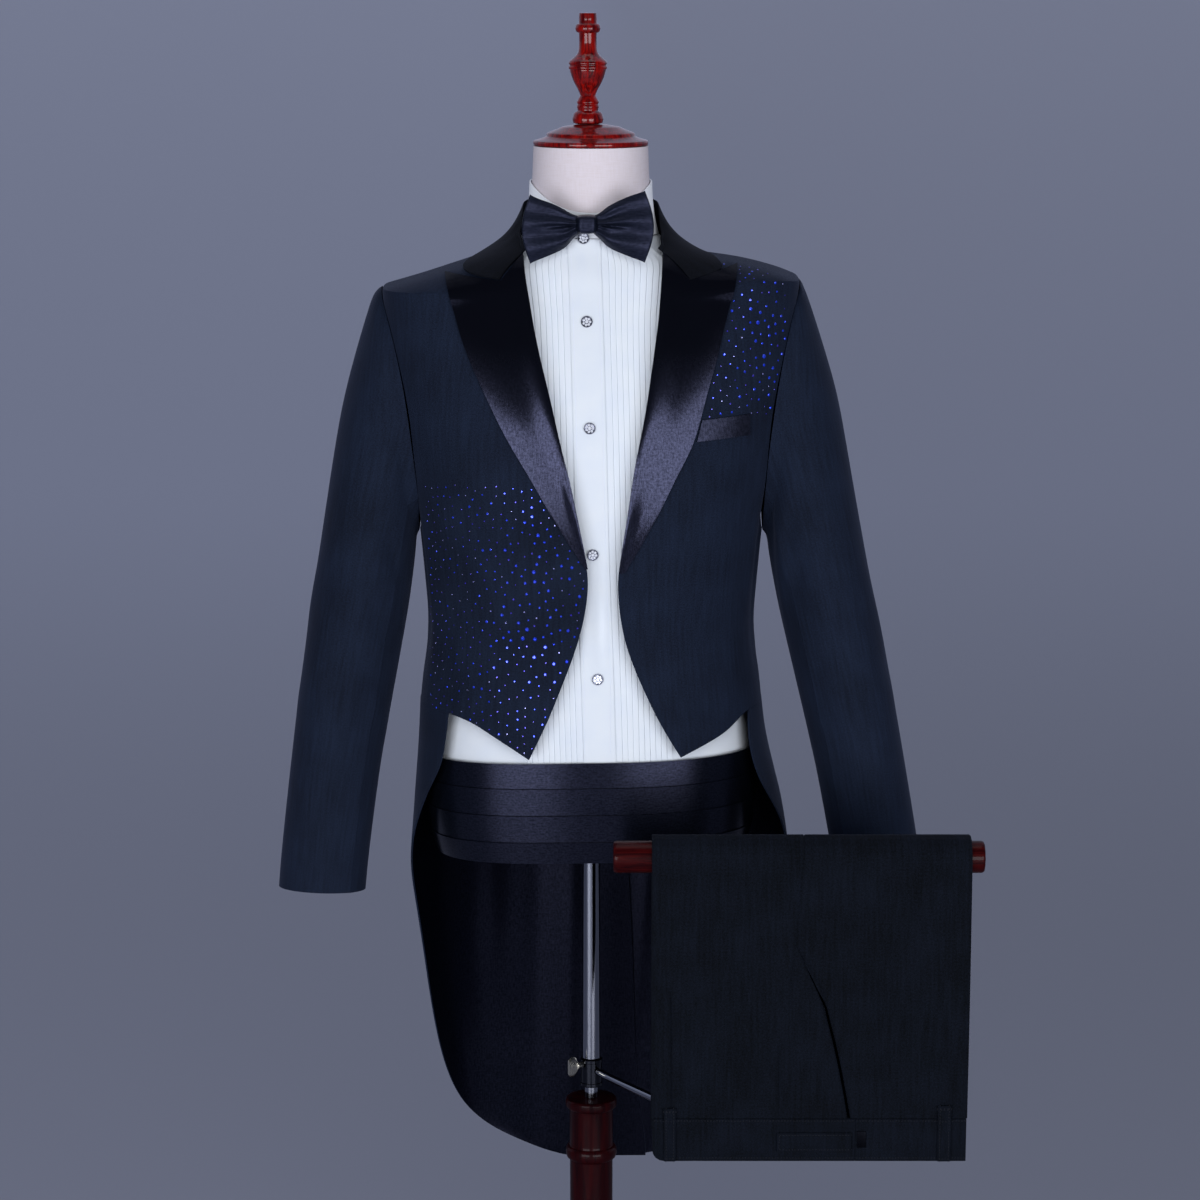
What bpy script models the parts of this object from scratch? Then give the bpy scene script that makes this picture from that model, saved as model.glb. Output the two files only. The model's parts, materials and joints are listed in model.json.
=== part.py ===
"""A tailcoat tuxedo dressed on a limbless dress form, with its trousers folded over the stand's bar.

World frame: metres, +Z up, +X to the wearer's left, the coat faces -Y.  The origin lies on the floor,
under the middle of the base.  "right" and "left" in a name are the wearer's right and left.

Every layer of cloth is worked out from a skin: a round section for each height, read on a smooth
curve between the rows of a table.  The coat and the tails lie on the coat's skin, the shirt and the
cummerbund on the dress form's.  A panel is a grid of skin points moved out to its face and its back,
so a piece that lies on another has the same shape, a little further out.
"""
import math
from typing import NamedTuple

import bmesh
import bpy
from mathutils import Vector

# ---------------------------------------------------------------------------------------------
# Driving dimensions
# ---------------------------------------------------------------------------------------------
SEAM_GAP = 0.0003          # between two pieces that are sewn or seated together
COAT_CLOTH = 0.0020        # fine wool with its canvas and lining
SHIRT_CLOTH = 0.0012
SHIRT_OUT = 0.0024         # the shirt's face lies this far out from the form's skin
TUCK_RISE = 0.0010         # a sewn tuck stands this far off the shirt
TUCK_PITCH = 0.0058
TUCKS_PER_FRONT = 10
PLACKET_HALF = 0.0168
WAIST_Z = 0.967            # the seam between the coat's body and its tails
CHEST_LEVEL_Z = 1.120      # the fronts' rows are level from here up
SEAM_ANGLE = 0.10          # degrees left open on each side of a side or shoulder seam
BASE_RADIUS = 0.190
BASE_TOP_Z = 0.026
POST_TOP_Z = 0.510
FORM_BOTTOM_Z = 0.820
NECK_TOP_Z = 1.559
BAR_Y = -0.270
BAR_Z = 0.8588
BAR_RADIUS = 0.0165
BAR_FROM_X = 0.023
BAR_TO_X = 0.399
ARM_X = 0.2115
ARM_Z = 0.5345
ARM_RADIUS = 0.0042
TROUSERS_FROM_X = 0.063
TROUSERS_TO_X = 0.384
TROUSER_CLOTH = 0.0040     # a leg pressed flat: two layers of wool
BUNDLE_CLOTH = 0.0145      # the legs folded up behind the bar: three pressed legs
BAND_SEAM_Z = 0.588
BAND_BOTTOM_Z = 0.543


def smooth(points, x):
    """Read a table of (x, value) pairs on a smooth curve that never overshoots them."""
    if x <= points[0][0]:
        return points[0][1]
    if x >= points[-1][0]:
        return points[-1][1]
    last = len(points) - 1
    at = next(i for i in range(last) if x <= points[i + 1][0])

    def slope(i):
        return (points[i + 1][1] - points[i][1]) / (points[i + 1][0] - points[i][0])

    def tangent(i):
        if i in (0, last):
            return slope(0) if i == 0 else slope(last - 1)
        before, after = slope(i - 1), slope(i)
        return 0.0 if before * after <= 0 else 2 * before * after / (before + after)

    width = points[at + 1][0] - points[at][0]
    t = (x - points[at][0]) / width
    start, end = points[at][1], points[at + 1][1]
    return ((2 * t**3 - 3 * t**2 + 1) * start + (t**3 - 2 * t**2 + t) * width * tangent(at)
            + (3 * t**2 - 2 * t**3) * end + (t**3 - t**2) * width * tangent(at + 1))


def mix(a, b, t):
    """Go from a to b as t goes from 0 to 1."""
    return a + (b - a) * t


def ease(t):
    """Go from 0 to 1 with a soft start and a soft end."""
    t = min(max(t, 0.0), 1.0)
    return t * t * (3 - 2 * t)


# ---------------------------------------------------------------------------------------------
# Skins
# ---------------------------------------------------------------------------------------------
class Girth(NamedTuple):
    """One level of a skin: its height, and how far it reaches to the side, front and back."""

    z: float
    side: float
    front: float
    back: float
    power: float           # 2 is an ellipse, more is squarer


class Skin:
    """A closed skin round the pole.  Angles are degrees from the front, + to the wearer's left."""

    def __init__(self, rows, lift=()):
        self.lift = list(lift)
        self.side = [(row.z, row.side) for row in rows]
        self.front = [(row.z, row.front) for row in rows]
        self.back = [(row.z, row.back) for row in rows]
        self.power = [(row.z, row.power) for row in rows]

    def bare(self, angle, z):
        """The skin's own point at an angle and a height."""
        across, along = math.sin(math.radians(angle)), math.cos(math.radians(angle))
        power = smooth(self.power, z)
        reach = (abs(across)**power + abs(along)**power) ** (-1 / power)
        depth = smooth(self.front if along > 0 else self.back, z)
        x = smooth(self.side, z) * reach * across
        rise = 0.0
        if self.lift and x > self.lift[0][0]:
            rise = smooth(self.lift, x) * ease((z - LIFT_FROM_Z) / LIFT_OVER)
        return Vector((x, -depth * reach * along, z + rise))

    def point(self, angle, z, out=0.0):
        """The skin's point moved out along its normal."""
        here = self.bare(angle, z)
        if out == 0.0:
            return here
        turn, rise = 1.5, 0.004
        along = self.bare(angle + turn, z) - self.bare(angle - turn, z)
        up = self.bare(angle, z + rise) - self.bare(angle, z - rise)
        return here + along.cross(up).normalized() * out

    def angle_at_x(self, x, z):
        """The angle of the front point that lies x from the middle."""
        share = min(abs(x) / smooth(self.side, z), 0.999)
        power = smooth(self.power, z)
        ahead = (1 - share**power) ** (1 / power)
        return math.copysign(math.degrees(math.atan2(share, ahead)), x)

    def angle_off_ridge(self, depth, z):
        """How far a point of the given front-to-back depth lies from the side, in degrees."""
        share = min(depth / smooth(self.front, z), 0.999)
        power = smooth(self.power, z)
        beside = (1 - share**power) ** (1 / power)
        return math.degrees(math.atan2(share, beside))

    def ahead(self, x, z, out=0.0):
        """The front point that lies x from the middle, moved out."""
        return self.point(self.angle_at_x(x, z), z, out)


LIFT_FROM_Z = 1.300        # the coat's left shoulder sits higher than the right from here up
LIFT_OVER = 0.100
COAT = Skin(lift=[(0.105, 0.0), (0.130, 0.0050), (0.156, 0.0095), (0.190, 0.0125), (0.215, 0.0095),
                  (0.235, 0.0075)], rows=[
    Girth(0.380, 0.205, 0.140, 0.141, 2.4),
    Girth(0.500, 0.208, 0.140, 0.142, 2.4),
    Girth(0.600, 0.208, 0.140, 0.143, 2.4),
    Girth(0.700, 0.2045, 0.140, 0.143, 2.4),
    Girth(0.780, 0.1965, 0.139, 0.143, 2.4),
    Girth(0.830, 0.1935, 0.139, 0.142, 2.4),
    Girth(0.880, 0.1900, 0.138, 0.139, 2.4),
    Girth(0.930, 0.1865, 0.136, 0.134, 2.4),
    Girth(0.985, 0.1835, 0.132, 0.126, 2.4),
    Girth(1.020, 0.1775, 0.128, 0.119, 2.4),
    Girth(1.050, 0.1755, 0.126, 0.116, 2.4),
    Girth(1.100, 0.179, 0.129, 0.122, 2.4),
    Girth(1.155, 0.184, 0.133, 0.130, 2.4),
    Girth(1.205, 0.192, 0.134, 0.136, 2.4),
    Girth(1.240, 0.203, 0.132, 0.139, 2.4),
    Girth(1.285, 0.211, 0.126, 0.139, 2.45),
    Girth(1.325, 0.218, 0.118, 0.136, 2.55),
    Girth(1.375, 0.2195, 0.106, 0.128, 2.8),
    Girth(1.402, 0.2205, 0.0975, 0.121, 3.2),
    Girth(1.411, 0.2200, 0.0955, 0.118, 3.4),
    Girth(1.416, 0.2025, 0.0945, 0.1165, 3.4),
    Girth(1.423, 0.1790, 0.0925, 0.114, 3.3),
    Girth(1.430, 0.1580, 0.0905, 0.111, 3.2),
    Girth(1.438, 0.1345, 0.0880, 0.107, 2.9),
    Girth(1.446, 0.1125, 0.0850, 0.101, 2.6),
    Girth(1.454, 0.0955, 0.0815, 0.095, 2.35),
    Girth(1.462, 0.0840, 0.0790, 0.090, 2.2),
    Girth(1.475, 0.0785, 0.0740, 0.083, 2.1),
    Girth(1.490, 0.0735, 0.0695, 0.0765, 2.05),
    Girth(1.510, 0.0690, 0.0665, 0.0720, 2.0),
])

FORM = Skin([
    Girth(0.800, 0.161, 0.103, 0.097, 2.4),
    Girth(0.850, 0.171, 0.112, 0.112, 2.4),
    Girth(0.900, 0.172, 0.113, 0.114, 2.4),
    Girth(0.950, 0.169, 0.110, 0.108, 2.4),
    Girth(1.000, 0.160, 0.106, 0.101, 2.4),
    Girth(1.050, 0.153, 0.106, 0.100, 2.4),
    Girth(1.100, 0.158, 0.110, 0.107, 2.4),
    Girth(1.150, 0.167, 0.115, 0.115, 2.4),
    Girth(1.200, 0.174, 0.117, 0.121, 2.4),
    Girth(1.240, 0.180, 0.115, 0.123, 2.4),
    Girth(1.285, 0.186, 0.110, 0.122, 2.4),
    Girth(1.325, 0.190, 0.101, 0.118, 2.4),
    Girth(1.365, 0.194, 0.090, 0.111, 2.5),
    Girth(1.395, 0.195, 0.082, 0.103, 2.6),
    Girth(1.4100, 0.1950, 0.0780, 0.1010, 2.7),
    Girth(1.4175, 0.1795, 0.0770, 0.0980, 2.7),
    Girth(1.4245, 0.1588, 0.0760, 0.0960, 2.7),
    Girth(1.4325, 0.1355, 0.0740, 0.0920, 2.6),
    Girth(1.4400, 0.1105, 0.0715, 0.0880, 2.5),
    Girth(1.4500, 0.0860, 0.0680, 0.0800, 2.3),
    Girth(1.465, 0.070, 0.0650, 0.072, 2.1),
    Girth(1.480, 0.0645, 0.0625, 0.066, 2.0),
    Girth(1.500, 0.0630, 0.0620, 0.0635, 2.0),
    Girth(1.560, 0.0605, 0.0600, 0.0605, 2.0),
])


class Armhole(NamedTuple):
    """An oval opening at the side: its top and bottom, and how far it reaches front and back."""

    bottom: float
    top: float
    front: float
    back: float

    def reach(self, z, ahead):
        """Half of the opening's width at a height, towards the front or the back."""
        middle, half = (self.top + self.bottom) / 2, (self.top - self.bottom) / 2
        share = (z - middle) / half
        return (self.front if ahead else self.back) * math.sqrt(max(0.0, 1 - share * share))

    def levels(self, steps):
        """Heights from the bottom to the top, closer together at the ends."""
        middle, half = (self.top + self.bottom) / 2, (self.top - self.bottom) / 2
        return [middle - half * math.cos(math.pi * step / steps) for step in range(steps + 1)]


COAT_ARMHOLE = Armhole(bottom=1.150, top=1.411, front=0.068, back=0.060)
SHIRT_ARMHOLE = Armhole(bottom=1.215, top=1.395, front=0.042, back=0.040)


# ---------------------------------------------------------------------------------------------
# Materials and solids
# ---------------------------------------------------------------------------------------------
def finish(name, colour, roughness, metallic=0.0, sheen=0.0):
    """Make a material: colour is linear RGB."""
    material = bpy.data.materials.new(name)
    material.use_nodes = True
    shader = material.node_tree.nodes["Principled BSDF"]
    shader.inputs["Base Color"].default_value = (*colour, 1.0)
    shader.inputs["Roughness"].default_value = roughness
    shader.inputs["Metallic"].default_value = metallic
    shader.inputs["Sheen Weight"].default_value = sheen
    return material


def clear_scene():
    """Remove the objects that a new file starts with."""
    for item in list(bpy.data.objects):
        bpy.data.objects.remove(item, do_unlink=True)


def solid(name, points, faces, material, sharp=40.0):
    """Make one closed object from points and faces, with its faces turned outwards."""
    mesh = bpy.data.meshes.new(name)
    mesh.from_pydata([tuple(point) for point in points], [], faces)
    work = bmesh.new()
    work.from_mesh(mesh)
    bmesh.ops.recalc_face_normals(work, faces=work.faces)
    bmesh.ops.triangulate(work, faces=work.faces)
    work.to_mesh(mesh)
    work.free()
    mesh.shade_smooth()
    mesh.set_sharp_from_angle(angle=math.radians(sharp))
    mesh.materials.append(material)
    item = bpy.data.objects.new(name, mesh)
    bpy.context.collection.objects.link(item)
    return item


def wall(name, face, back, material, match=None, closed=False):
    """Close a face grid and a back grid into a wall of cloth.

    Both grids have the same rows.  match names the face column behind which each back column lies,
    where the back is plainer than the face.  closed joins the last column to the first.
    """
    rows, wide = len(face), len(face[0])
    match = match or list(range(wide))
    narrow = len(match)
    points = [point for row in face for point in row] + [point for row in back for point in row]

    def out(row, column):
        return row * wide + column % wide

    def inn(row, column):
        return rows * wide + row * narrow + column % narrow

    faces = []
    for row in range(rows - 1):
        for column in range(wide if closed else wide - 1):
            faces.append((out(row, column), out(row, column + 1),
                          out(row + 1, column + 1), out(row + 1, column)))
        for column in range(narrow if closed else narrow - 1):
            faces.append((inn(row + 1, column), inn(row + 1, column + 1),
                          inn(row, column + 1), inn(row, column)))
        if not closed:
            faces.append((out(row + 1, 0), inn(row + 1, 0), inn(row, 0), out(row, 0)))
            faces.append((out(row, wide - 1), inn(row, narrow - 1),
                          inn(row + 1, narrow - 1), out(row + 1, wide - 1)))
    for row in (0, rows - 1):
        for column in range(narrow if closed else narrow - 1):
            first = match[column]
            after = match[(column + 1) % narrow] + (wide if column + 1 == narrow else 0)
            edge = [out(row, step) for step in range(first, after + 1)]
            rim = edge + [inn(row, column + 1), inn(row, column)]
            faces.append(tuple(rim if row else reversed(rim)))
    return solid(name, points, faces, material)


def loft(name, loops, material, sharp=40.0):
    """Skin a row of closed loops of equal length and close both ends."""
    size = len(loops[0])
    points = [point for loop in loops for point in loop]
    faces = [tuple(range(size))]
    for ring in range(len(loops) - 1):
        for step in range(size):
            after = (step + 1) % size
            faces.append((ring * size + step, (ring + 1) * size + step,
                          (ring + 1) * size + after, ring * size + after))
    faces.append(tuple(reversed(range((len(loops) - 1) * size, len(loops) * size))))
    return solid(name, points, faces, material, sharp)


def circle(centre, radius, sides, across=Vector((1, 0, 0)), along=Vector((0, 1, 0))):
    """Points on a circle in the plane of two unit directions."""
    return [centre + (across * math.cos(turn) + along * math.sin(turn)) * radius
            for turn in (2 * math.pi * step / sides for step in range(sides))]


def turned(name, profile, sides, material, sharp=35.0, x=0.0):
    """Turn a profile of (radius, z) pairs, from the bottom up, round an upright axis."""
    loops = [circle(Vector((x, 0, z)), radius, sides) for radius, z in profile]
    return loft(name, loops, material, sharp)


def rod(name, path, radius, sides, material):
    """A round rod along a path that stays in one upright plane."""
    side = (path[-1] - path[0]).cross(Vector((0, 0, 1))).normalized()
    loops = []
    for at, point in enumerate(path):
        before, after = path[max(at - 1, 0)], path[min(at + 1, len(path) - 1)]
        run = (after - before).normalized()
        loops.append(circle(point, radius, sides, side, side.cross(run)))
    return loft(name, loops, material)


def plate(name, outline, front_y, back_y, material):
    """A flat strip of cloth: an outline of (x, z) pairs with a front and a back."""
    loops = [[Vector((x, y, z)) for x, z in outline] for y in (front_y, back_y)]
    return loft(name, loops, material)


# ---------------------------------------------------------------------------------------------
# The coat's body
# ---------------------------------------------------------------------------------------------
class LapelRow(NamedTuple):
    """A row of a lapel: its height at the roll line, its outer end, and how far it dips between."""

    roll_z: float
    edge_x: float
    edge_z: float
    dip: float


class FrontCut(NamedTuple):
    """One coat front.  Each x is measured from the middle of the coat towards the front's own side."""

    side: int              # -1 is the wearer's right, +1 the left
    point_z: float         # the height of the front's lower point
    line: list             # (z, x) up the front edge, then up the lapel's roll line
    hem: list              # (x, z) from the lower point to the waist seam
    notch: float           # where across the lapel the collar's seam meets the peak
    lapel: list


RIGHT_FRONT = FrontCut(
    side=-1,
    point_z=0.926,
    line=[(0.926, 0.065), (0.946, 0.054), (0.979, 0.041), (1.018, 0.025), (1.059, 0.011),
          (1.096, 0.004), (1.123, 0.0025), (1.170, 0.011), (1.216, 0.020), (1.255, 0.030),
          (1.308, 0.042), (1.339, 0.050), (1.393, 0.061), (1.453, 0.069), (1.462, 0.068)],
    hem=[(0.065, 0.926), (0.082, 0.937), (0.103, 0.949), (0.128, 0.962), (0.150, 0.967)],
    notch=0.29,
    lapel=[
        LapelRow(1.1300, 0.0060, 1.1310, 0.0),
        LapelRow(1.1550, 0.0225, 1.1560, 0.0),
        LapelRow(1.1900, 0.0440, 1.1920, 0.0),
        LapelRow(1.2250, 0.0635, 1.2270, 0.0),
        LapelRow(1.2550, 0.0815, 1.2560, 0.0),
        LapelRow(1.2850, 0.0970, 1.2850, 0.0),
        LapelRow(1.3150, 0.1120, 1.3160, 0.0),
        LapelRow(1.3450, 0.1245, 1.3430, 0.0),
        LapelRow(1.3750, 0.1330, 1.3660, 0.001),
        LapelRow(1.3900, 0.1370, 1.3790, 0.002),
        LapelRow(1.4050, 0.1405, 1.3915, 0.004),
        LapelRow(1.4180, 0.1438, 1.4020, 0.0075),
        LapelRow(1.4290, 0.1468, 1.4120, 0.0110),
        LapelRow(1.4390, 0.1492, 1.4205, 0.0150),
        LapelRow(1.4485, 0.1514, 1.4290, 0.0193),
    ],
)

LEFT_FRONT = FrontCut(
    side=1,
    point_z=0.927,
    line=[(0.927, 0.095), (0.962, 0.074), (1.000, 0.056), (1.037, 0.040), (1.078, 0.031),
          (1.113, 0.028), (1.130, 0.0295), (1.185, 0.038), (1.234, 0.045), (1.283, 0.055),
          (1.342, 0.064), (1.397, 0.071), (1.453, 0.074), (1.462, 0.072)],
    hem=[(0.095, 0.927), (0.112, 0.935), (0.134, 0.945), (0.150, 0.954), (0.163, 0.965),
         (0.168, 0.967)],
    notch=0.365,
    lapel=[
        LapelRow(1.1250, 0.0355, 1.1260, 0.0),
        LapelRow(1.1550, 0.0530, 1.1560, 0.0),
        LapelRow(1.1900, 0.0715, 1.1900, 0.0),
        LapelRow(1.2250, 0.0885, 1.2260, 0.0),
        LapelRow(1.2550, 0.1045, 1.2560, 0.0),
        LapelRow(1.2850, 0.1135, 1.2860, 0.0),
        LapelRow(1.3150, 0.1220, 1.3170, 0.0),
        LapelRow(1.3450, 0.1305, 1.3440, 0.0),
        LapelRow(1.3750, 0.1365, 1.3680, 0.001),
        LapelRow(1.3900, 0.1400, 1.3800, 0.002),
        LapelRow(1.4050, 0.1430, 1.3910, 0.004),
        LapelRow(1.4180, 0.1462, 1.4000, 0.0075),
        LapelRow(1.4290, 0.1490, 1.4090, 0.0105),
        LapelRow(1.4390, 0.1510, 1.4185, 0.0140),
        LapelRow(1.4485, 0.1525, 1.4285, 0.0173),
    ],
)

FRONT_COLUMNS = 9
HEM_COLUMNS = 6            # of these, the ones up to the hem's outer corner
BACK_COLUMNS = 7
FOREPART_STEPS = 5         # rows from the hem up to the chest level
SHOULDER_LEVELS = (1.416, 1.423, 1.430, 1.438, 1.446, 1.454, 1.462)
LAPEL_HIDES = 0.002        # the front's cloth ends this far behind the lapel's roll line
LAPEL_ROLL_SHARES = (0.0, 0.07, 0.16)
LAPEL_PEAK_COLUMNS = 6
LAPEL_LIFT = 0.0006
LAPEL_FLOAT = 0.0008       # and as much further off the rounding of the shoulder
LAPEL_CLOTH = 0.0020
LAPEL_ROLL = 0.0022        # the fold at the roll line is this much fuller


def spread(first, last, count):
    """Evenly spaced numbers from first to last."""
    return [mix(first, last, step / (count - 1)) for step in range(count)]


def side_angle(skin, armhole, z, ahead):
    """The angle at which a panel ends beside an armhole, or at a side or shoulder seam."""
    off = 0.0
    if armhole.bottom < z < armhole.top:
        off = skin.angle_off_ridge(armhole.reach(z, ahead), z)
    off = max(off, SEAM_ANGLE)
    return 90 - off if ahead else 90 + off


def two_faces(skin, rows, face_out, back_out):
    """Turn rows of (angle, z) into a face grid and a back grid."""
    face = [[skin.point(angle, z, face_out) for angle, z in row] for row in rows]
    back = [[skin.point(angle, z, back_out) for angle, z in row] for row in rows]
    return face, back


def front_shares(cut):
    """Where a front's columns lie from its edge to its side seam, one on the hem's corner."""
    tip = COAT.angle_at_x(cut.line[0][1], cut.point_z)
    corner = COAT.angle_at_x(cut.hem[-1][0], WAIST_Z)
    at_corner = (corner - tip) / (90 - tip)
    return (spread(0.0, at_corner, HEM_COLUMNS)
            + spread(at_corner, 1.0, FRONT_COLUMNS - HEM_COLUMNS + 1)[1:])


def front_rows(cut):
    """Rows of (angle, z) over one coat front, from its hem to its neck and shoulder."""
    rows = []
    shares = front_shares(cut)
    tip = COAT.angle_at_x(cut.line[0][1], cut.point_z)
    seam = 90 - SEAM_ANGLE
    hem = []
    for share in shares:
        x = COAT.bare(mix(tip, seam, share), WAIST_Z).x
        hem.append(smooth(cut.hem, x))
    hem[0] = cut.point_z
    for step in range(FOREPART_STEPS):
        up = step / FOREPART_STEPS
        heights = [mix(z, CHEST_LEVEL_Z, up) for z in hem]
        start = COAT.angle_at_x(smooth(cut.line, heights[0]), heights[0])
        rows.append([(mix(start, seam, share), z) for share, z in zip(shares, heights)])
    even = spread(0.0, 1.0, FRONT_COLUMNS)
    for z in [CHEST_LEVEL_Z] + COAT_ARMHOLE.levels(8) + list(SHOULDER_LEVELS):
        up = ease((z - CHEST_LEVEL_Z) / 0.10)
        hidden = LAPEL_HIDES * ease((z - CHEST_LEVEL_Z) / 0.03)
        start = COAT.angle_at_x(smooth(cut.line, z) + hidden, z)
        end = side_angle(COAT, COAT_ARMHOLE, z, True)
        rows.append([(mix(start, end, mix(share, level, up)), z)
                     for share, level in zip(shares, even)])
    return [[(angle * cut.side, z) for angle, z in row] for row in rows]


def make_front(name, cut, material):
    """A coat front: shoulder, armhole, side seam, cut-away front edge and pointed hem."""
    face, back = two_faces(COAT, front_rows(cut), 0.0, -COAT_CLOTH)
    wall(name, face, back, material)


def make_back(name, side, material):
    """A coat back from the centre seam to the side seam, armhole and shoulder."""
    rows = []
    levels = [WAIST_Z, 1.000, 1.040, 1.080, 1.115] + COAT_ARMHOLE.levels(8) + list(SHOULDER_LEVELS)
    for z in levels:
        centre = 180 - math.degrees(SEAM_GAP / smooth(COAT.back, z))
        rows.append([(angle * side, z) for angle in
                     spread(side_angle(COAT, COAT_ARMHOLE, z, False), centre, BACK_COLUMNS)])
    face, back = two_faces(COAT, rows, 0.0, -COAT_CLOTH)
    wall(name, face, back, material)


def lapel_point(cut, row, share, out):
    """A point of a lapel, share of the way from the roll line to its outer edge."""
    roll_x = smooth(cut.line, row.roll_z)
    reach = share / cut.notch if share < cut.notch else (1 - share) / (1 - cut.notch)
    x = mix(roll_x, row.edge_x, share)
    z = mix(row.roll_z, row.edge_z, share) - row.dip * reach
    return COAT.ahead(x * cut.side, z, out)


def make_lapel(name, cut, material):
    """A peaked lapel, turned back over the front, fullest along its roll line."""
    face, back = [], []
    shares = list(LAPEL_ROLL_SHARES) + spread(cut.notch, 1.0, LAPEL_PEAK_COLUMNS)
    for row in cut.lapel:
        width = min(1.0, (row.edge_x - smooth(cut.line, row.roll_z)) / 0.03)
        face.append([])
        back.append([])
        for share in shares:
            swell = LAPEL_ROLL * width * math.exp(-((share - 0.10) / 0.13) ** 2)
            low = LAPEL_LIFT + LAPEL_FLOAT * ease((row.edge_z - 1.33) / 0.06)
            face[-1].append(lapel_point(cut, row, share, low + LAPEL_CLOTH + swell))
            back[-1].append(lapel_point(cut, row, share, low))
    wall(name, face, back, material)


class WeltCorner(NamedTuple):
    """A corner of the chest pocket's welt."""

    x: float
    z: float


WELT = (WeltCorner(0.1095, 1.261), WeltCorner(0.165, 1.265),
        WeltCorner(0.1150, 1.283), WeltCorner(0.165, 1.287))
WELT_OUT = 0.0022


def make_welt(name, material):
    """The welt of the chest pocket, sewn on the left front."""
    low_in, low_out, high_in, high_out = WELT
    face, back = [], []
    for up in (0.0, 0.5, 1.0):
        spots = []
        for share in spread(0.0, 1.0, 6):
            low = (mix(low_in.x, low_out.x, share), mix(low_in.z, low_out.z, share))
            high = (mix(high_in.x, high_out.x, share), mix(high_in.z, high_out.z, share))
            spots.append((mix(low[0], high[0], up), mix(low[1], high[1], up)))
        face.append([COAT.ahead(x, z, WELT_OUT) for x, z in spots])
        back.append([COAT.ahead(x, z, LAPEL_LIFT) for x, z in spots])
    wall(name, face, back, material)


# ---------------------------------------------------------------------------------------------
# The tails
# ---------------------------------------------------------------------------------------------
RIGHT_TAIL_EDGE = [(0.3935, 173.0), (0.398, 167.0), (0.408, 159.7), (0.424, 150.4), (0.452, 141.6),
                   (0.493, 133.6), (0.550, 126.9), (0.600, 122.2), (0.6645, 116.0), (0.7315, 106.0),
                   (0.760, 98.0), (0.790, 88.0), (0.830, 76.0), (0.865, 65.0), (0.886, 60.0),
                   (0.899, 56.0), (0.918, 53.5), (0.948, 51.8), (0.967, 51.0)]
LEFT_TAIL_EDGE = [(0.3935, 166.0), (0.398, 158.0), (0.408, 152.0), (0.424, 146.0), (0.452, 139.6),
                  (0.493, 133.6), (0.550, 126.9), (0.600, 122.2), (0.6645, 116.0), (0.7315, 104.0),
                  (0.780, 90.0), (0.820, 80.0), (0.853, 71.0), (0.884, 63.0), (0.904, 60.2),
                  (0.932, 59.4), (0.967, 61.0)]
TAIL_LEVELS = (0.3935, 0.400, 0.412, 0.435, 0.470, 0.520, 0.585, 0.655, 0.720, 0.770, 0.815,
               0.852, 0.882, 0.908, 0.936, WAIST_Z - SEAM_GAP)
TAIL_COLUMNS = 10
TAIL_WAVES = 6             # soft folds round a whole skirt, some of which the cut leaves out
TAIL_WAVE_RISE = 0.0050
LEFT_TAIL_FLARE = 0.018    # the left skirt stands this much further out at its side
UNDERLAP_ANGLE = 14.0      # the right tail passes behind the vent by this much
UNDERLAP_DROP = 0.0034     # and lies this far inside the left one


def tail_fold(angle, z):
    """How far the tails' soft folds move the cloth out."""
    fall = ease((WAIST_Z - 0.03 - z) / 0.35)
    return TAIL_WAVE_RISE * fall * math.cos(math.radians(TAIL_WAVES * (180 - abs(angle)) + 150))


def make_tail(name, side, edge, material):
    """One tail of the coat: a skirt from the waist seam whose front edge sweeps back to the hem."""
    rows = []
    for z in TAIL_LEVELS:
        vent = 180 - math.degrees(SEAM_GAP / smooth(COAT.back, z))
        if side < 0:
            vent = 180 + UNDERLAP_ANGLE * (0.75 + 0.25 * ease((WAIST_Z - z) / 0.5)
                                           + 0.25 * ease((0.52 - z) / 0.13))
        rows.append([(angle, z) for angle in spread(smooth(edge, z), vent, TAIL_COLUMNS)])

    def place(angle, z, out):
        """One point: folds, the left side's flare and the right tail's underlap."""
        out += tail_fold(angle if angle <= 180 else 360 - angle, z)
        if side > 0:
            aside = ease((150 - angle) / 60)
            out += LEFT_TAIL_FLARE * aside * ease((0.97 - z) / 0.16)
        else:
            out -= UNDERLAP_DROP * ease((angle - 152) / 20)
        return COAT.point(angle * side, z, out)

    face = [[place(angle, z, 0.0) for angle, z in row] for row in rows]
    back = [[place(angle, z, -COAT_CLOTH) for angle, z in row] for row in rows]
    wall(name, face, back, material)


# ---------------------------------------------------------------------------------------------
# Sleeves
# ---------------------------------------------------------------------------------------------
class SleeveRing(NamedTuple):
    """A ring of a sleeve: its outer and inner point seen from the front, its middle and depth."""

    outer_x: float
    outer_z: float
    inner_x: float
    inner_z: float
    y: float
    depth: float


SLEEVE_RINGS = (
    SleeveRing(0.2290, 1.4055, 0.1872, 1.1440, -0.003, 0.0670),
    SleeveRing(0.2365, 1.3860, 0.1885, 1.1300, -0.004, 0.0675),
    SleeveRing(0.2480, 1.3480, 0.1905, 1.1110, -0.005, 0.0670),
    SleeveRing(0.2620, 1.2960, 0.1940, 1.0850, -0.006, 0.0660),
    SleeveRing(0.2740, 1.2360, 0.1985, 1.0570, -0.008, 0.0645),
    SleeveRing(0.2945, 1.1080, 0.2100, 0.9950, -0.013, 0.0605),
    SleeveRing(0.3040, 1.0480, 0.2160, 0.9620, -0.017, 0.0585),
    SleeveRing(0.3130, 0.9860, 0.2225, 0.9260, -0.023, 0.0560),
    SleeveRing(0.3210, 0.9240, 0.2290, 0.8880, -0.030, 0.0530),
    SleeveRing(0.3335, 0.8150, 0.2400, 0.8050, -0.044, 0.0460),
    SleeveRing(0.3375, 0.7680, 0.2440, 0.7640, -0.050, 0.0430),
)
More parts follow.
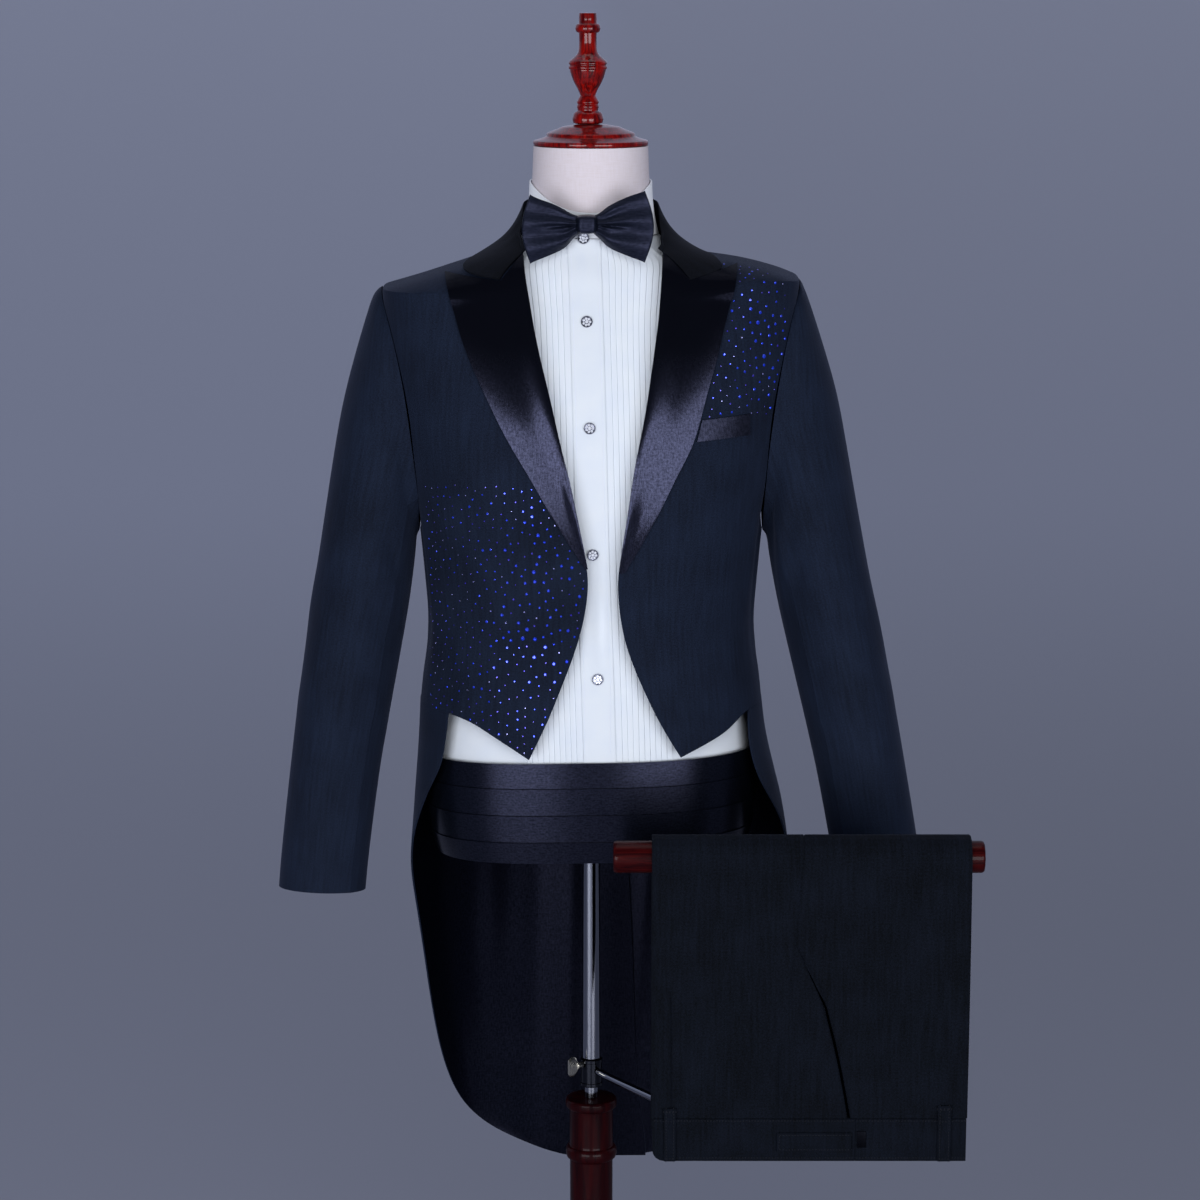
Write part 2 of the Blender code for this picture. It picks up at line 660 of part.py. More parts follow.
FRONT_SLEEVE_SEAM = 133.0  # degrees round the sleeve from its outer line, towards the front
BACK_SLEEVE_SEAM = 118.0   # and towards the back
TOPSLEEVE_STEPS = 10
UNDERSLEEVE_STEPS = 6
SLEEVE_SQUARENESS = 2.15
CUFF_TILT = 0.10           # the cuff's front rim is higher than its back rim by this slope
LEFT_SWING = 0.022         # the left sleeve hangs this much further out at the cuff
LEFT_SLEEVE_RISE = 0.0080  # and sits this much higher at the shoulder
LEFT_SLEEVE_DRAW = 0.0040  # and this much closer
SLEEVE_GAP = 0.0009        # between the armhole and the sleeve's head


def sleeve_head_point(side, turn, skew):
    """The armhole's seam seen from the side, skew further in or out from its line."""
    middle = (COAT_ARMHOLE.top + COAT_ARMHOLE.bottom) / 2
    half = (COAT_ARMHOLE.top - COAT_ARMHOLE.bottom) / 2
    reach = COAT_ARMHOLE.front if turn > 0 else COAT_ARMHOLE.back
    across, up = math.sin(math.radians(turn)), math.cos(math.radians(turn))
    seam_y = -reach * across
    off = COAT.angle_off_ridge(abs(seam_y), middle + half * up)
    seam = COAT.bare((90 - off if turn > 0 else 90 + off) * side, middle + half * up)
    return Vector((seam.x + SLEEVE_GAP * side, seam_y - skew * across, seam.z + skew * up))


def sleeve_point(ring, turn, inset, swing):
    """A point of the sleeve below its head, inset by the cloth where it is the inside."""
    wide = math.hypot(ring.outer_x - ring.inner_x, ring.outer_z - ring.inner_z) / 2
    across, up = math.sin(math.radians(turn)), math.cos(math.radians(turn))
    power = SLEEVE_SQUARENESS
    reach = (abs(across)**power + abs(up)**power) ** (-1 / power)
    along = Vector((ring.outer_x - ring.inner_x, 0, ring.outer_z - ring.inner_z)).normalized()
    middle = Vector(((ring.outer_x + ring.inner_x) / 2, ring.y, (ring.outer_z + ring.inner_z) / 2))
    ahead = -(ring.depth - inset) * reach * across
    tilt = CUFF_TILT * ease((1.20 - middle.z) / 0.40)
    point = middle + along * (wide - inset) * reach * up + Vector((0, ahead, -tilt * ahead))
    point.x += swing * max(0.0, 1.17 - point.z) / 0.40
    return point


def make_sleeve(name, side, first, last, steps, swing, material):
    """Part of a sleeve between two seams, from the armhole to the cuff."""
    turns = spread(first, last, steps)
    face, back = [], []
    for ring in SLEEVE_RINGS:
        face.append([sleeve_point(ring, wrap(turn), 0.0, swing) for turn in turns])
        back.append([sleeve_point(ring, wrap(turn), COAT_CLOTH, swing) for turn in turns])
    for row in face + back:
        for point in row:
            if side > 0:
                point.x -= LEFT_SLEEVE_DRAW * ease((point.z - 1.28) / 0.10)
                point.z += LEFT_SLEEVE_RISE * ease((point.z - 1.24) / 0.14)
            point.x *= side
    face.insert(0, [sleeve_head_point(side, wrap(turn), 0.0010) for turn in turns])
    back.insert(0, [sleeve_head_point(side, wrap(turn), -0.0010) for turn in turns])
    wall(name, face, back, material)


def wrap(turn):
    """Bring an angle into -180 to 180 degrees."""
    return (turn + 180) % 360 - 180


# ---------------------------------------------------------------------------------------------
# The coat's collar
# ---------------------------------------------------------------------------------------------
class CollarCut(NamedTuple):
    """A section of the collar: its fold, the edge of its fall, and how much it hollows."""

    fold_angle: float
    fold_z: float
    edge_angle: float
    edge_z: float
    hollow: float          # 0 lies on the coat, 1 hollows between the neck and the shoulder
    stand: float           # how much of the stand this section has
    crease: float          # from the fold down to where the stand and the fall part


RIGHT_LEAF = (CollarCut(39.5, 1.4503, 29.8, 1.4252, 0.0, 0.00, 0.0022),
              CollarCut(49.0, 1.4555, 41.0, 1.4288, 0.15, 0.00, 0.0026))
LEFT_LEAF = (CollarCut(42.5, 1.4503, 31.9, 1.4244, 0.0, 0.00, 0.0022),
             CollarCut(51.5, 1.4550, 45.2, 1.4272, 0.15, 0.00, 0.0026))
COLLAR_CUTS = (
    CollarCut(60.0, 1.4650, 57.0, 1.4350, 0.45, 0.00, 0.0040),
    CollarCut(69.0, 1.4780, 72.0, 1.4405, 0.80, 1.00, 0.0110),
    CollarCut(78.0, 1.4900, 84.0, 1.4440, 1.0, 1.00, 0.0170),
    CollarCut(92.0, 1.4975, 97.0, 1.4465, 1.0, 1.00, 0.0200),
    CollarCut(115.0, 1.5005, 117.0, 1.4490, 1.0, 1.00, 0.0210),
    CollarCut(137.0, 1.5010, 139.0, 1.4510, 1.0, 1.00, 0.0210),
    CollarCut(159.0, 1.5010, 160.0, 1.4530, 1.0, 1.00, 0.0200),
    CollarCut(180.0, 1.5010, 180.0, 1.4540, 1.0, 1.00, 0.0200),
)
COLLAR_BETWEEN = (0, 1, 2, 3, 5, 6, 7, 8)  # after these sections one more is worked out
COLLAR_FOOT_Z = 1.4650     # the stand begins here, over the coat's neck seam
COLLAR_HALF = 0.0010       # half of the collar's thickness
COLLAR_LIFT = 0.0028       # the middle of the fall lies this far off the coat
FALL_SHARES = (0.18, 0.42, 0.70, 1.0)


def collar_fall(cut, side, share):
    """The middle of the fall, share of the way from the fold to its edge."""
    fold = COAT.point(cut.fold_angle * side, cut.fold_z, COLLAR_LIFT * (1 - cut.stand))
    edge = COAT.point(cut.edge_angle * side, cut.edge_z, COLLAR_LIFT)
    on_coat = COAT.point(mix(cut.fold_angle, cut.edge_angle, 0.5) * side,
                         mix(cut.fold_z, cut.edge_z, 0.5), COLLAR_LIFT * 1.4)
    bend = Vector((mix(fold.x, edge.x, 0.22), mix(fold.y, edge.y, 0.22), mix(fold.z, edge.z, 0.64)))
    bend = mix(on_coat, bend, cut.hollow)
    return fold * (1 - share)**2 + bend * 2 * share * (1 - share) + edge * share**2


def collar_section(cut, side):
    """The closed outline of one section, from the foot of the stand over the fold to the fall."""
    fold = collar_fall(cut, side, 0.0)
    outward = COAT.point(cut.fold_angle * side, cut.fold_z, 1.0) - COAT.bare(
        cut.fold_angle * side, cut.fold_z)
    outward.z = 0
    outward.normalize()
    foot = COAT.point(cut.fold_angle * side, COLLAR_FOOT_Z, 0.0)
    turned_in = COAT.point(cut.fold_angle * side, cut.fold_z + 0.0030, COLLAR_LIFT + COLLAR_HALF)
    foot = mix(turned_in, foot, cut.stand)
    middle = mix(foot, fold, 0.5)
    loop = [foot - outward * COLLAR_HALF, middle - outward * COLLAR_HALF,
            fold - outward * COLLAR_HALF * 0.8, fold + Vector((0, 0, COLLAR_HALF))]
    under = []
    for share in FALL_SHARES:
        here = collar_fall(cut, side, share)
        run = collar_fall(cut, side, min(share + 0.05, 1.0)) - collar_fall(cut, side, share - 0.05)
        across = outward.cross(Vector((0, 0, 1)))
        normal = across.cross(run).normalized()
        if normal.dot(outward) + normal.z < 0:
            normal = -normal
        loop.append(here + normal * COLLAR_HALF)
        if share > 0.3:
            under.append(here - normal * COLLAR_HALF)
    loop += reversed(under)
    crease = fold + (collar_fall(cut, side, 0.3) - fold).normalized() * cut.crease
    crease = mix(crease, mix(fold, foot, min(0.9, cut.crease / 0.041)), 0.5)
    loop += [crease, middle + outward * COLLAR_HALF, foot + outward * COLLAR_HALF]
    return loop


def make_collar(name, material):
    """The coat's collar: a stand round the neck that folds over into a fall on the shoulders."""
    halves = {}
    for side, leaf in ((-1, RIGHT_LEAF), (1, LEFT_LEAF)):
        cuts = leaf + COLLAR_CUTS
        sections = []
        for place, cut in enumerate(cuts):
            sections.append(collar_section(cut, side))
            if place in COLLAR_BETWEEN:
                between = CollarCut(*(mix(a, b, 0.5) for a, b in zip(cut, cuts[place + 1])))
                sections.append(collar_section(between, side))
        halves[side] = sections
    loft(name, halves[-1][:-1] + halves[1][::-1], material)


# ---------------------------------------------------------------------------------------------
# The shirt
# ---------------------------------------------------------------------------------------------
class StudPlace(NamedTuple):
    """Where a stud sits: the studs' line is the middle of the shirt as it hangs."""

    x: float
    z: float


STUDS = (StudPlace(-0.0070, 1.4662), StudPlace(-0.0040, 1.3810), StudPlace(-0.0010, 1.2740),
         StudPlace(0.0020, 1.1430), StudPlace(0.0070, 1.0080))
SHIRT_MIDDLE = [(0.835, 0.0120)] + [(place.z, place.x) for place in reversed(STUDS)]
SHIRT_LEVELS = (0.835, 0.925, STUDS[4].z, 1.075, STUDS[3].z, SHIRT_ARMHOLE.bottom, STUDS[2].z, 1.330,
                STUDS[1].z, SHIRT_ARMHOLE.top, 1.410, 1.4175, 1.4285, 1.440, 1.450, 1.4655)
TUCKS_FROM = 0.0185        # the first tuck starts this far from the middle, beside the placket
TUCK_FAN = 0.12            # towards the neck the tucks spread by this share
TUCK_FOLD = 0.0006         # the width of a tuck's steep side
SHIRT_PLAIN_COLUMNS = 4
NECK_CROWDING = 0.96       # round the neck the tucks draw together to this share of the width
SHIRT_BACK_COLUMNS = 13


def shirt_columns():
    """Each column over the tucks: its distance from the middle and its share of a tuck's rise."""
    columns = [(0.0002, 0.0), (PLACKET_HALF * 0.93, 0.0), (TUCKS_FROM, 0.0)]
    for tuck in range(1, TUCKS_PER_FRONT + 1):
        end = TUCKS_FROM + tuck * TUCK_PITCH
        columns += [(end - TUCK_FOLD, 1.0), (end, 0.0)]
    return columns


def tuck_spread(z, widest):
    """How much the tucks spread or draw together at a height, beside the placket."""
    fan = 1 + TUCK_FAN * ease((z - 1.36) / 0.08)
    room = NECK_CROWDING * smooth(FORM.side, z) - TUCKS_FROM - 0.010
    return min(fan, room / (widest - TUCKS_FROM))


def make_shirt_front(name, side, material):
    """A shirt front with sewn tucks beside the placket, plain under the coat and inside."""
    columns = shirt_columns()
    tucked = len(columns)
    match = ([0, 1] + list(range(2, tucked, 4)) +
             list(range(tucked, tucked + SHIRT_PLAIN_COLUMNS)))
    face, back = [], []
    for z in SHIRT_LEVELS:
        spread_by = tuck_spread(z, columns[-1][0])
        middle = smooth(SHIRT_MIDDLE, z)
        angles, outs = [], []
        for x, rise in columns:
            x = min(x, TUCKS_FROM) + max(0.0, x - TUCKS_FROM) * spread_by
            angles.append(FORM.angle_at_x(middle + side * x, z))
            outs.append(SHIRT_OUT + TUCK_RISE * rise)
        end = side * side_angle(FORM, SHIRT_ARMHOLE, z, True)
        plain = spread(angles[-1], end, SHIRT_PLAIN_COLUMNS + 1)[1:]
        angles += plain
        outs += [SHIRT_OUT] * len(plain)
        face.append([FORM.point(angle, z, out) for angle, out in zip(angles, outs)])
        back.append([FORM.point(angles[column], z, SHIRT_OUT - SHIRT_CLOTH) for column in match])
    wall(name, face, back, material, match)


def make_shirt_back(name, material):
    """The shirt's back, between the side seams, armholes and shoulders."""
    rows = []
    for z in SHIRT_LEVELS:
        end = side_angle(FORM, SHIRT_ARMHOLE, z, False)
        rows.append([(angle, z) for angle in spread(end, 360 - end, SHIRT_BACK_COLUMNS)])
    face, back = two_faces(FORM, rows, SHIRT_OUT, SHIRT_OUT - SHIRT_CLOTH)
    wall(name, face, back, material)


PLACKET_LIFT = 0.0004
PLACKET_CLOTH = 0.0014


def make_placket(name, material):
    """The strip down the middle of the shirt that holds the studs."""
    shares = ((-1.0, 0.3), (-0.93, 1.0), (0.0, 1.0), (0.93, 1.0), (1.0, 0.3))
    face, back = [], []
    for z in SHIRT_LEVELS:
        middle = smooth(SHIRT_MIDDLE, z)
        low = SHIRT_OUT + PLACKET_LIFT
        face.append([FORM.ahead(middle + PLACKET_HALF * share, z, low + PLACKET_CLOTH * full)
                     for share, full in shares])
        back.append([FORM.ahead(middle + PLACKET_HALF * share, z, low) for share, full in shares])
    wall(name, face, back, material)


SHIRT_COLLAR_TOP = [(0.0, 1.4930), (20.0, 1.4955), (45.0, 1.5060), (70.0, 1.5180), (95.0, 1.5225),
                    (180.0, 1.5260)]
SHIRT_COLLAR_FOOT_Z = 1.4664
SHIRT_COLLAR_INSIDE = 0.0013
SHIRT_COLLAR_OUT = 0.0029


def make_shirt_collar(name, material):
    """The shirt's stand collar, closed at the front, lowest under the bow."""
    turns = [step * 18.0 for step in range(20)]
    face, back = [], []
    for share in (0.0, 0.5, 1.0):
        face.append([])
        back.append([])
        for angle in turns:
            folded = angle if angle <= 180 else 360 - angle
            z = mix(SHIRT_COLLAR_FOOT_Z, smooth(SHIRT_COLLAR_TOP, folded), share)
            face[-1].append(FORM.point(angle, z, SHIRT_COLLAR_OUT))
            back[-1].append(FORM.point(angle, z, SHIRT_COLLAR_INSIDE))
    wall(name, face, back, material, closed=True)


STUD_PROFILE = ((0.0048, 0.0), (0.0062, 0.0010), (0.0058, 0.0026), (0.0026, 0.0050))
STUD_SIDES = 8
STUD_SEAT = SHIRT_OUT + PLACKET_LIFT + PLACKET_CLOTH + SEAM_GAP + 0.0002
TOP_STUD_SEAT_Z = 1.4590   # the top stud is held by the placket's last row below the collar


def make_stud(name, place, material):
    """A jewelled stud: a round setting with a domed stone, square to the placket."""
    seat_z = min(place.z, TOP_STUD_SEAT_Z)
    seat = FORM.ahead(place.x, seat_z, STUD_SEAT)
    outward = (FORM.ahead(place.x, seat_z, STUD_SEAT + 0.01) - seat).normalized()
    seat.z += place.z - seat_z
    across = Vector((0, 0, 1)).cross(outward).normalized()
    loops = [circle(seat + outward * rise, radius, STUD_SIDES, across, outward.cross(across))
             for radius, rise in STUD_PROFILE]
    loft(name, loops, material)


# ---------------------------------------------------------------------------------------------
# Bow tie and cummerbund
# ---------------------------------------------------------------------------------------------
class WingCut(NamedTuple):
    """An upright section of the bow's wing."""

    x: float               # at its top and bottom
    top: float
    bottom: float
    swell: float           # how much further out it is half-way down
    y: float
    depth: float


RIGHT_WING = (
    WingCut(-0.0135, 1.4905, 1.4745, 0.0000, -0.0810, 0.0040),
    WingCut(-0.0180, 1.4935, 1.4685, 0.0003, -0.0825, 0.0055),
    WingCut(-0.0240, 1.4967, 1.4602, 0.0008, -0.0845, 0.0070),
    WingCut(-0.0364, 1.5035, 1.4538, 0.0020, -0.0875, 0.0075),
    WingCut(-0.0508, 1.5085, 1.4481, 0.0045, -0.0890, 0.0062),
    WingCut(-0.0615, 1.5130, 1.4438, 0.0080, -0.0895, 0.0036),
    WingCut(-0.0622, 1.5132, 1.4436, 0.0084, -0.0895, 0.0014),
)
LEFT_WING = (
    WingCut(0.0058, 1.4905, 1.4745, 0.0000, -0.0810, 0.0040),
    WingCut(0.0105, 1.4955, 1.4670, 0.0003, -0.0825, 0.0055),
    WingCut(0.0165, 1.5010, 1.4600, 0.0008, -0.0845, 0.0070),
    WingCut(0.0290, 1.5075, 1.4545, 0.0020, -0.0875, 0.0075),
    WingCut(0.0430, 1.5135, 1.4490, 0.0045, -0.0890, 0.0062),
    WingCut(0.0550, 1.5168, 1.4450, 0.0088, -0.0895, 0.0036),
    WingCut(0.0557, 1.5170, 1.4448, 0.0092, -0.0895, 0.0014),
)
WING_FACE_STEPS = 11
WING_BACK_STEPS = 4
WING_FOLDS = 2.5
WING_FOLD_RISE = 0.0022
KNOT_X = -0.0038
KNOT_HALF_WIDTH = 0.0088


def make_wing(name, cuts, material):
    """A wing of the bow: a folded loop of satin that fans out from the knot in long folds."""
    loops = []
    side = math.copysign(1.0, cuts[-1].x)
    for place, cut in enumerate(cuts):
        full = math.sin(math.pi * (place + 1) / (len(cuts) + 1))
        loop = []
        for step in range(WING_FACE_STEPS):
            share = step / (WING_FACE_STEPS - 1)
            rounding = math.sqrt(math.sqrt(max(0.0, 1 - (2 * share - 1) ** 2)))
            fold = WING_FOLD_RISE * full * math.cos(2 * math.pi * WING_FOLDS * share)
            y = cut.y - (cut.depth + fold * (0.3 + 0.7 * rounding)) * (0.25 + 0.75 * rounding)
            x = cut.x + side * cut.swell * math.sin(math.pi * share)
            loop.append(Vector((x, y, mix(cut.top, cut.bottom, share))))
        for step in range(1, WING_BACK_STEPS + 1):
            share = step / (WING_BACK_STEPS + 1)
            y = cut.y + cut.depth * 0.8 * math.sin(math.pi * share)
            x = cut.x + side * cut.swell * math.sin(math.pi * share)
            loop.append(Vector((x, y, mix(cut.bottom, cut.top, share))))
        loops.append(loop)
    loft(name, loops, material, sharp=60.0)


class KnotRing(NamedTuple):
    """A level of the knot, and its width and depth as shares of the whole."""

    z: float
    wide: float
    deep: float


KNOT_RINGS = (KnotRing(1.4737, 0.62, 0.75), KnotRing(1.4755, 0.92, 0.94), KnotRing(1.4800, 1.0, 1.0),
              KnotRing(1.4860, 1.0, 1.0), KnotRing(1.4902, 0.92, 0.94), KnotRing(1.4918, 0.62, 0.75))
KNOT_FRONT_Y = -0.0935
KNOT_BACK_Y = -0.0660
KNOT_SIDES = 14
KNOT_FOLD = 0.0009


def make_knot(name, material):
    """The knot of the bow, with soft upright folds, seated on the shirt's collar."""
    loops = []
    middle_y, half = (KNOT_FRONT_Y + KNOT_BACK_Y) / 2, (KNOT_BACK_Y - KNOT_FRONT_Y) / 2
    for ring in KNOT_RINGS:
        loop = []
        for step in range(KNOT_SIDES):
            turn = 2 * math.pi * step / KNOT_SIDES
            across, ahead = math.cos(turn), math.sin(turn)
            reach = (abs(across)**4 + abs(ahead)**4) ** -0.25
            fold = KNOT_FOLD * math.cos(6 * turn) if ahead < 0 else 0.0
            loop.append(Vector((KNOT_X + KNOT_HALF_WIDTH * ring.wide * reach * across,
                                middle_y + (half * ring.deep * reach + fold) * ahead, ring.z)))
        loops.append(loop)
    loft(name, loops, material)


class FoldRow(NamedTuple):
    """A row of the cummerbund: its height at the front and how far it stands out."""

    z: float
    out: float


CUMMERBUND_IN = 0.0052
CUMMERBUND_ROWS = (
    FoldRow(0.8100, 0.0069), FoldRow(0.8340, 0.0082),
    FoldRow(0.8346, 0.0069), FoldRow(0.8628, 0.0082),
    FoldRow(0.8634, 0.0069), FoldRow(0.8920, 0.0082),
    FoldRow(0.8926, 0.0069), FoldRow(0.9190, 0.0078),
)
CUMMERBUND_PLAIN_ROWS = (0, 1, 3, 5, 7)
CUMMERBUND_END = 104.0
CUMMERBUND_COLUMNS = 25
CUMMERBUND_DROP = [(-104.0, 0.0100), (-60.0, 0.0070), (0.0, 0.0), (60.0, -0.0010), (104.0, 0.0010)]
STRAP_FROM = 104.2
STRAP_TOP_Z = 0.888
STRAP_BOTTOM_Z = 0.846


def make_cummerbund(name, material):
    """The pleated front of the cummerbund: four folds, each proud of the one above it."""
    face, back = [], []
    for angle in spread(-CUMMERBUND_END, CUMMERBUND_END, CUMMERBUND_COLUMNS):
        drop = smooth(CUMMERBUND_DROP, angle)
        face.append([FORM.point(angle, row.z - drop, row.out) for row in CUMMERBUND_ROWS])
        back.append([FORM.point(angle, CUMMERBUND_ROWS[row].z - drop, CUMMERBUND_IN)
                     for row in CUMMERBUND_PLAIN_ROWS])
    wall(name, face, back, material, list(CUMMERBUND_PLAIN_ROWS))


def make_strap(name, material):
    """The cummerbund's plain strap round the back."""
    rows = [[(angle, z) for angle in spread(STRAP_FROM, 360 - STRAP_FROM, SHIRT_BACK_COLUMNS)]
            for z in (STRAP_BOTTOM_Z, STRAP_TOP_Z)]
    face, back = two_faces(FORM, rows, SHIRT_OUT + 0.0028, SHIRT_OUT + 0.0008)
    wall(name, face, back, material)


# ---------------------------------------------------------------------------------------------
# Trousers over the bar
# ---------------------------------------------------------------------------------------------
class Fall(NamedTuple):
    """A station of the trousers' path over the bar."""

    z: float               # used where the cloth hangs
    turn: float            # degrees over the bar: 0 hangs in front, 180 behind
    thick: float
    inset: float           # how far the inner face lies off the path
    layers: float          # how deep the grooves between the folded layers are


FRONT_FALLS = tuple(Fall(z, 0.0, TROUSER_CLOTH, 0.0, 0.0)
                    for z in (BAND_SEAM_Z + SEAM_GAP, 0.640, 0.705, 0.772, 0.820, BAR_Z))
TOP_FALLS = tuple(Fall(BAR_Z, turn, mix(TROUSER_CLOTH, 0.0065, ease(turn / 180)), 0.0,
                       ease(turn / 180) * 0.3)
                  for turn in (22.5, 45.0, 67.5, 90.0, 112.5, 135.0, 157.5, 180.0))
BACK_FALLS = (
    Fall(0.840, 180.0, 0.0100, 0.0, 0.6), Fall(0.810, 180.0, 0.0135, 0.0, 1.0),
    Fall(0.700, 180.0, BUNDLE_CLOTH, 0.0, 1.0),
    Fall(0.600, 180.0, BUNDLE_CLOTH, 0.0, 1.0), Fall(0.577, 180.0, 0.0135, 0.0005, 1.0),
    Fall(0.566, 180.0, 0.0095, 0.0025, 0.6), Fall(0.561, 180.0, 0.0040, 0.0052, 0.0),
)
LEG_SPLIT = [(0.543, 0.269), (BAND_SEAM_Z, 0.2640), (0.612, 0.260), (0.666, 0.249), (0.728, 0.232),
             (0.757, 0.2165), (0.772, 0.208), (0.797, 0.2095), (0.880, 0.216)]
BACK_SPLIT_X = 0.2165
SPLIT_HALF = 0.0005
LEG_COLUMNS = 4
BAR_CLEARANCE = 0.0007     # the cloth's corners stand off the bar, so that its flats clear it
EDGE_ROUND = 0.0009
LAYER_GROOVE = 0.0030
BELLY = 0.0030


def fall_point(fall, x, out):
    """A point at a station, x along the bar and out from the inner face."""
    reach = BAR_RADIUS + BAR_CLEARANCE + fall.inset + out
    turn = math.radians(fall.turn)
    ahead, up = -math.cos(turn), math.sin(turn)
    return Vector((x, BAR_Y + ahead * reach, fall.z + up * reach))


def belly(x, fall):
    """The soft swing of the hanging front, none at the bar and the waistband."""
    if fall.turn > 0:
        return 0.0
    drop = (BAR_Z - fall.z) / (BAR_Z - BAND_SEAM_Z)
    wave = 0.6 + 0.4 * math.cos(2 * math.pi * (x - TROUSERS_FROM_X) / 0.16)
    return BELLY * math.sin(math.pi * min(max(drop, 0.0), 1.0)) * wave


def make_leg(name, on_left, material):
    """One trouser leg, pressed flat, from the waistband over the bar and folded up behind it."""
    loops = []
    for fall in FRONT_FALLS + TOP_FALLS + BACK_FALLS:
        level = fall.z if fall.turn == 0 else 0.880
        split = smooth(LEG_SPLIT, level) if fall.turn < 90 else BACK_SPLIT_X
        gap = SPLIT_HALF + EDGE_ROUND + 0.004 * fall.layers
        low, high = (TROUSERS_FROM_X, split - gap) if on_left else (split + gap, TROUSERS_TO_X)
        across = spread(low, high, LEG_COLUMNS)

        def at(x, share):
            point = fall_point(fall, x, fall.thick * share)
            point.y -= belly(x, fall)
            return point

        groove = -LAYER_GROOVE * fall.layers
        edge = [(1 / 6, EDGE_ROUND), (1 / 3, groove), (1 / 2, EDGE_ROUND), (2 / 3, groove),
                (5 / 6, EDGE_ROUND)]
        loop = [at(x, 0.0) for x in across]
        loop += [at(high + bulge, share) for share, bulge in edge]
        loop += [at(x, 1.0) for x in reversed(across)]
        loop += [at(low - bulge, share) for share, bulge in reversed(edge)]
        loops.append(loop)
    loft(name, loops, material)


BAND_INNER_Y = BAR_Y - BAR_RADIUS - BAR_CLEARANCE
BAND_OUTER_Y = BAND_INNER_Y - 0.0056
BAND_CORNER = 0.012
LOOP_Y = BAND_OUTER_Y - SEAM_GAP
STRIP_CLOTH = 0.0018
BAND_SPLIT_X = 0.2700


class Strip(NamedTuple):
    """A strip sewn on the waistband: its corners."""

    name: str
    from_x: float
    to_x: float
    from_z: float
    to_z: float


BAND_STRIPS = (
    Strip("belt_loop_1", 0.0750, 0.0870, 0.5435, 0.6000),
    Strip("belt_loop_2", 0.3545, 0.3680, 0.5435, 0.6030),
    Strip("waist_tab", 0.1905, 0.2665, 0.5540, 0.5740),
)
HOOK = Strip("waist_hook", 0.2725, 0.2815, 0.5580, 0.5755)


def rectangle(from_x, to_x, from_z, to_z, corner=0.0):
    """The outline of a strip, whose lower corner at from_x may be rounded."""
    outline = []
    steps = 5 if corner else 1
    for step in range(steps):
        turn = math.radians(90 * step / max(steps - 1, 1))
        outline.append((from_x + corner * (1 - math.cos(turn)), from_z + corner * (1 - math.sin(turn))))
    return outline + [(to_x, from_z), (to_x, to_z), (from_x, to_z)]


def make_waistband(wool, hook_metal):
    """The waistband in its two halves, with its loops, the tab and the hook beside it."""
    left = rectangle(TROUSERS_FROM_X, BAND_SPLIT_X - SPLIT_HALF, BAND_BOTTOM_Z, BAND_SEAM_Z, BAND_CORNER)
    right = rectangle(BAND_SPLIT_X + SPLIT_HALF, TROUSERS_TO_X, BAND_BOTTOM_Z, BAND_SEAM_Z)
    plate("waistband_left", left, BAND_OUTER_Y, BAND_INNER_Y, wool)
    plate("waistband_right", right, BAND_OUTER_Y, BAND_INNER_Y, wool)
    for strip in BAND_STRIPS:
        plate(strip.name, rectangle(*strip[1:]), LOOP_Y - STRIP_CLOTH, LOOP_Y, wool)
    plate(HOOK.name, rectangle(*HOOK[1:]), LOOP_Y - 0.0012, LOOP_Y, hook_metal)


# ---------------------------------------------------------------------------------------------
# The dress form and its stand
# ---------------------------------------------------------------------------------------------
FORM_SIDES = 20
FORM_INSET = [(FORM_BOTTOM_Z, 0.0022), (1.430, 0.0022), (1.468, 0.0)]  # flats clear the shirt
FORM_LEVELS = (FORM_BOTTOM_Z,) + SHIRT_LEVELS + (1.480, 1.500, NECK_TOP_Z)
CAP_PROFILE = ((0.0588, NECK_TOP_Z + SEAM_GAP), (0.0605, 1.5612), (0.0605, 1.5640), (0.0470, 1.5662),
               (0.0452, 1.5700), (0.0350, 1.5740), (0.0300, 1.5780), (0.0170, 1.5815))
FINIAL_PROFILE = ((0.0156, 1.5818), (0.0163, 1.5870), (0.0148, 1.5930), (0.0108, 1.5960),
                  (0.0116, 1.5998), (0.0109, 1.6022), (0.0116, 1.6047), (0.0096, 1.6084),
                  (0.0081, 1.6117), (0.0104, 1.6180), (0.0141, 1.6243), (0.0170, 1.6309),
                  (0.0190, 1.6382), (0.0201, 1.6402), (0.0200, 1.6455), (0.0180, 1.6481),
                  (0.0118, 1.6534), (0.0097, 1.6573), (0.0091, 1.6660), (0.0093, 1.6752),
                  (0.0128, 1.6780), (0.0131, 1.6811), (0.0127, 1.6840), (0.0095, 1.6860),
                  (0.0092, 1.6966), (0.0084, 1.6970))
CLAMP_BOTTOM_Z = 0.524
CLAMP_TOP_Z = 0.556
CLAMP_RADIUS = 0.0125
KNOB_Z = 0.5500
FINIAL_X = -0.0030         # the finial leans over its screw by this much
LOWER_POLE_RADIUS = 0.0075
UPPER_POLE_RADIUS = 0.0100
POST_PROFILE = ((0.0400, BASE_TOP_Z + SEAM_GAP), (0.0400, 0.0340), (0.0300, 0.0440),
                (0.0260, 0.0600), (0.0237, 0.0900), (0.0237, 0.4390), (0.0275, 0.4425),
                (0.0284, 0.4475), (0.0275, 0.4530), (0.0240, 0.4565), (0.0240, 0.4990),
                (0.0275, 0.5000), (0.0284, 0.5025), (0.0284, 0.5075), (0.0270, POST_TOP_Z))
BASE_PROFILE = ((0.1850, 0.0), (BASE_RADIUS, 0.0040), (BASE_RADIUS, 0.0110), (0.1840, 0.0170),
                (0.1000, 0.0210), (0.0550, BASE_TOP_Z))
ARM_BEND = 0.022


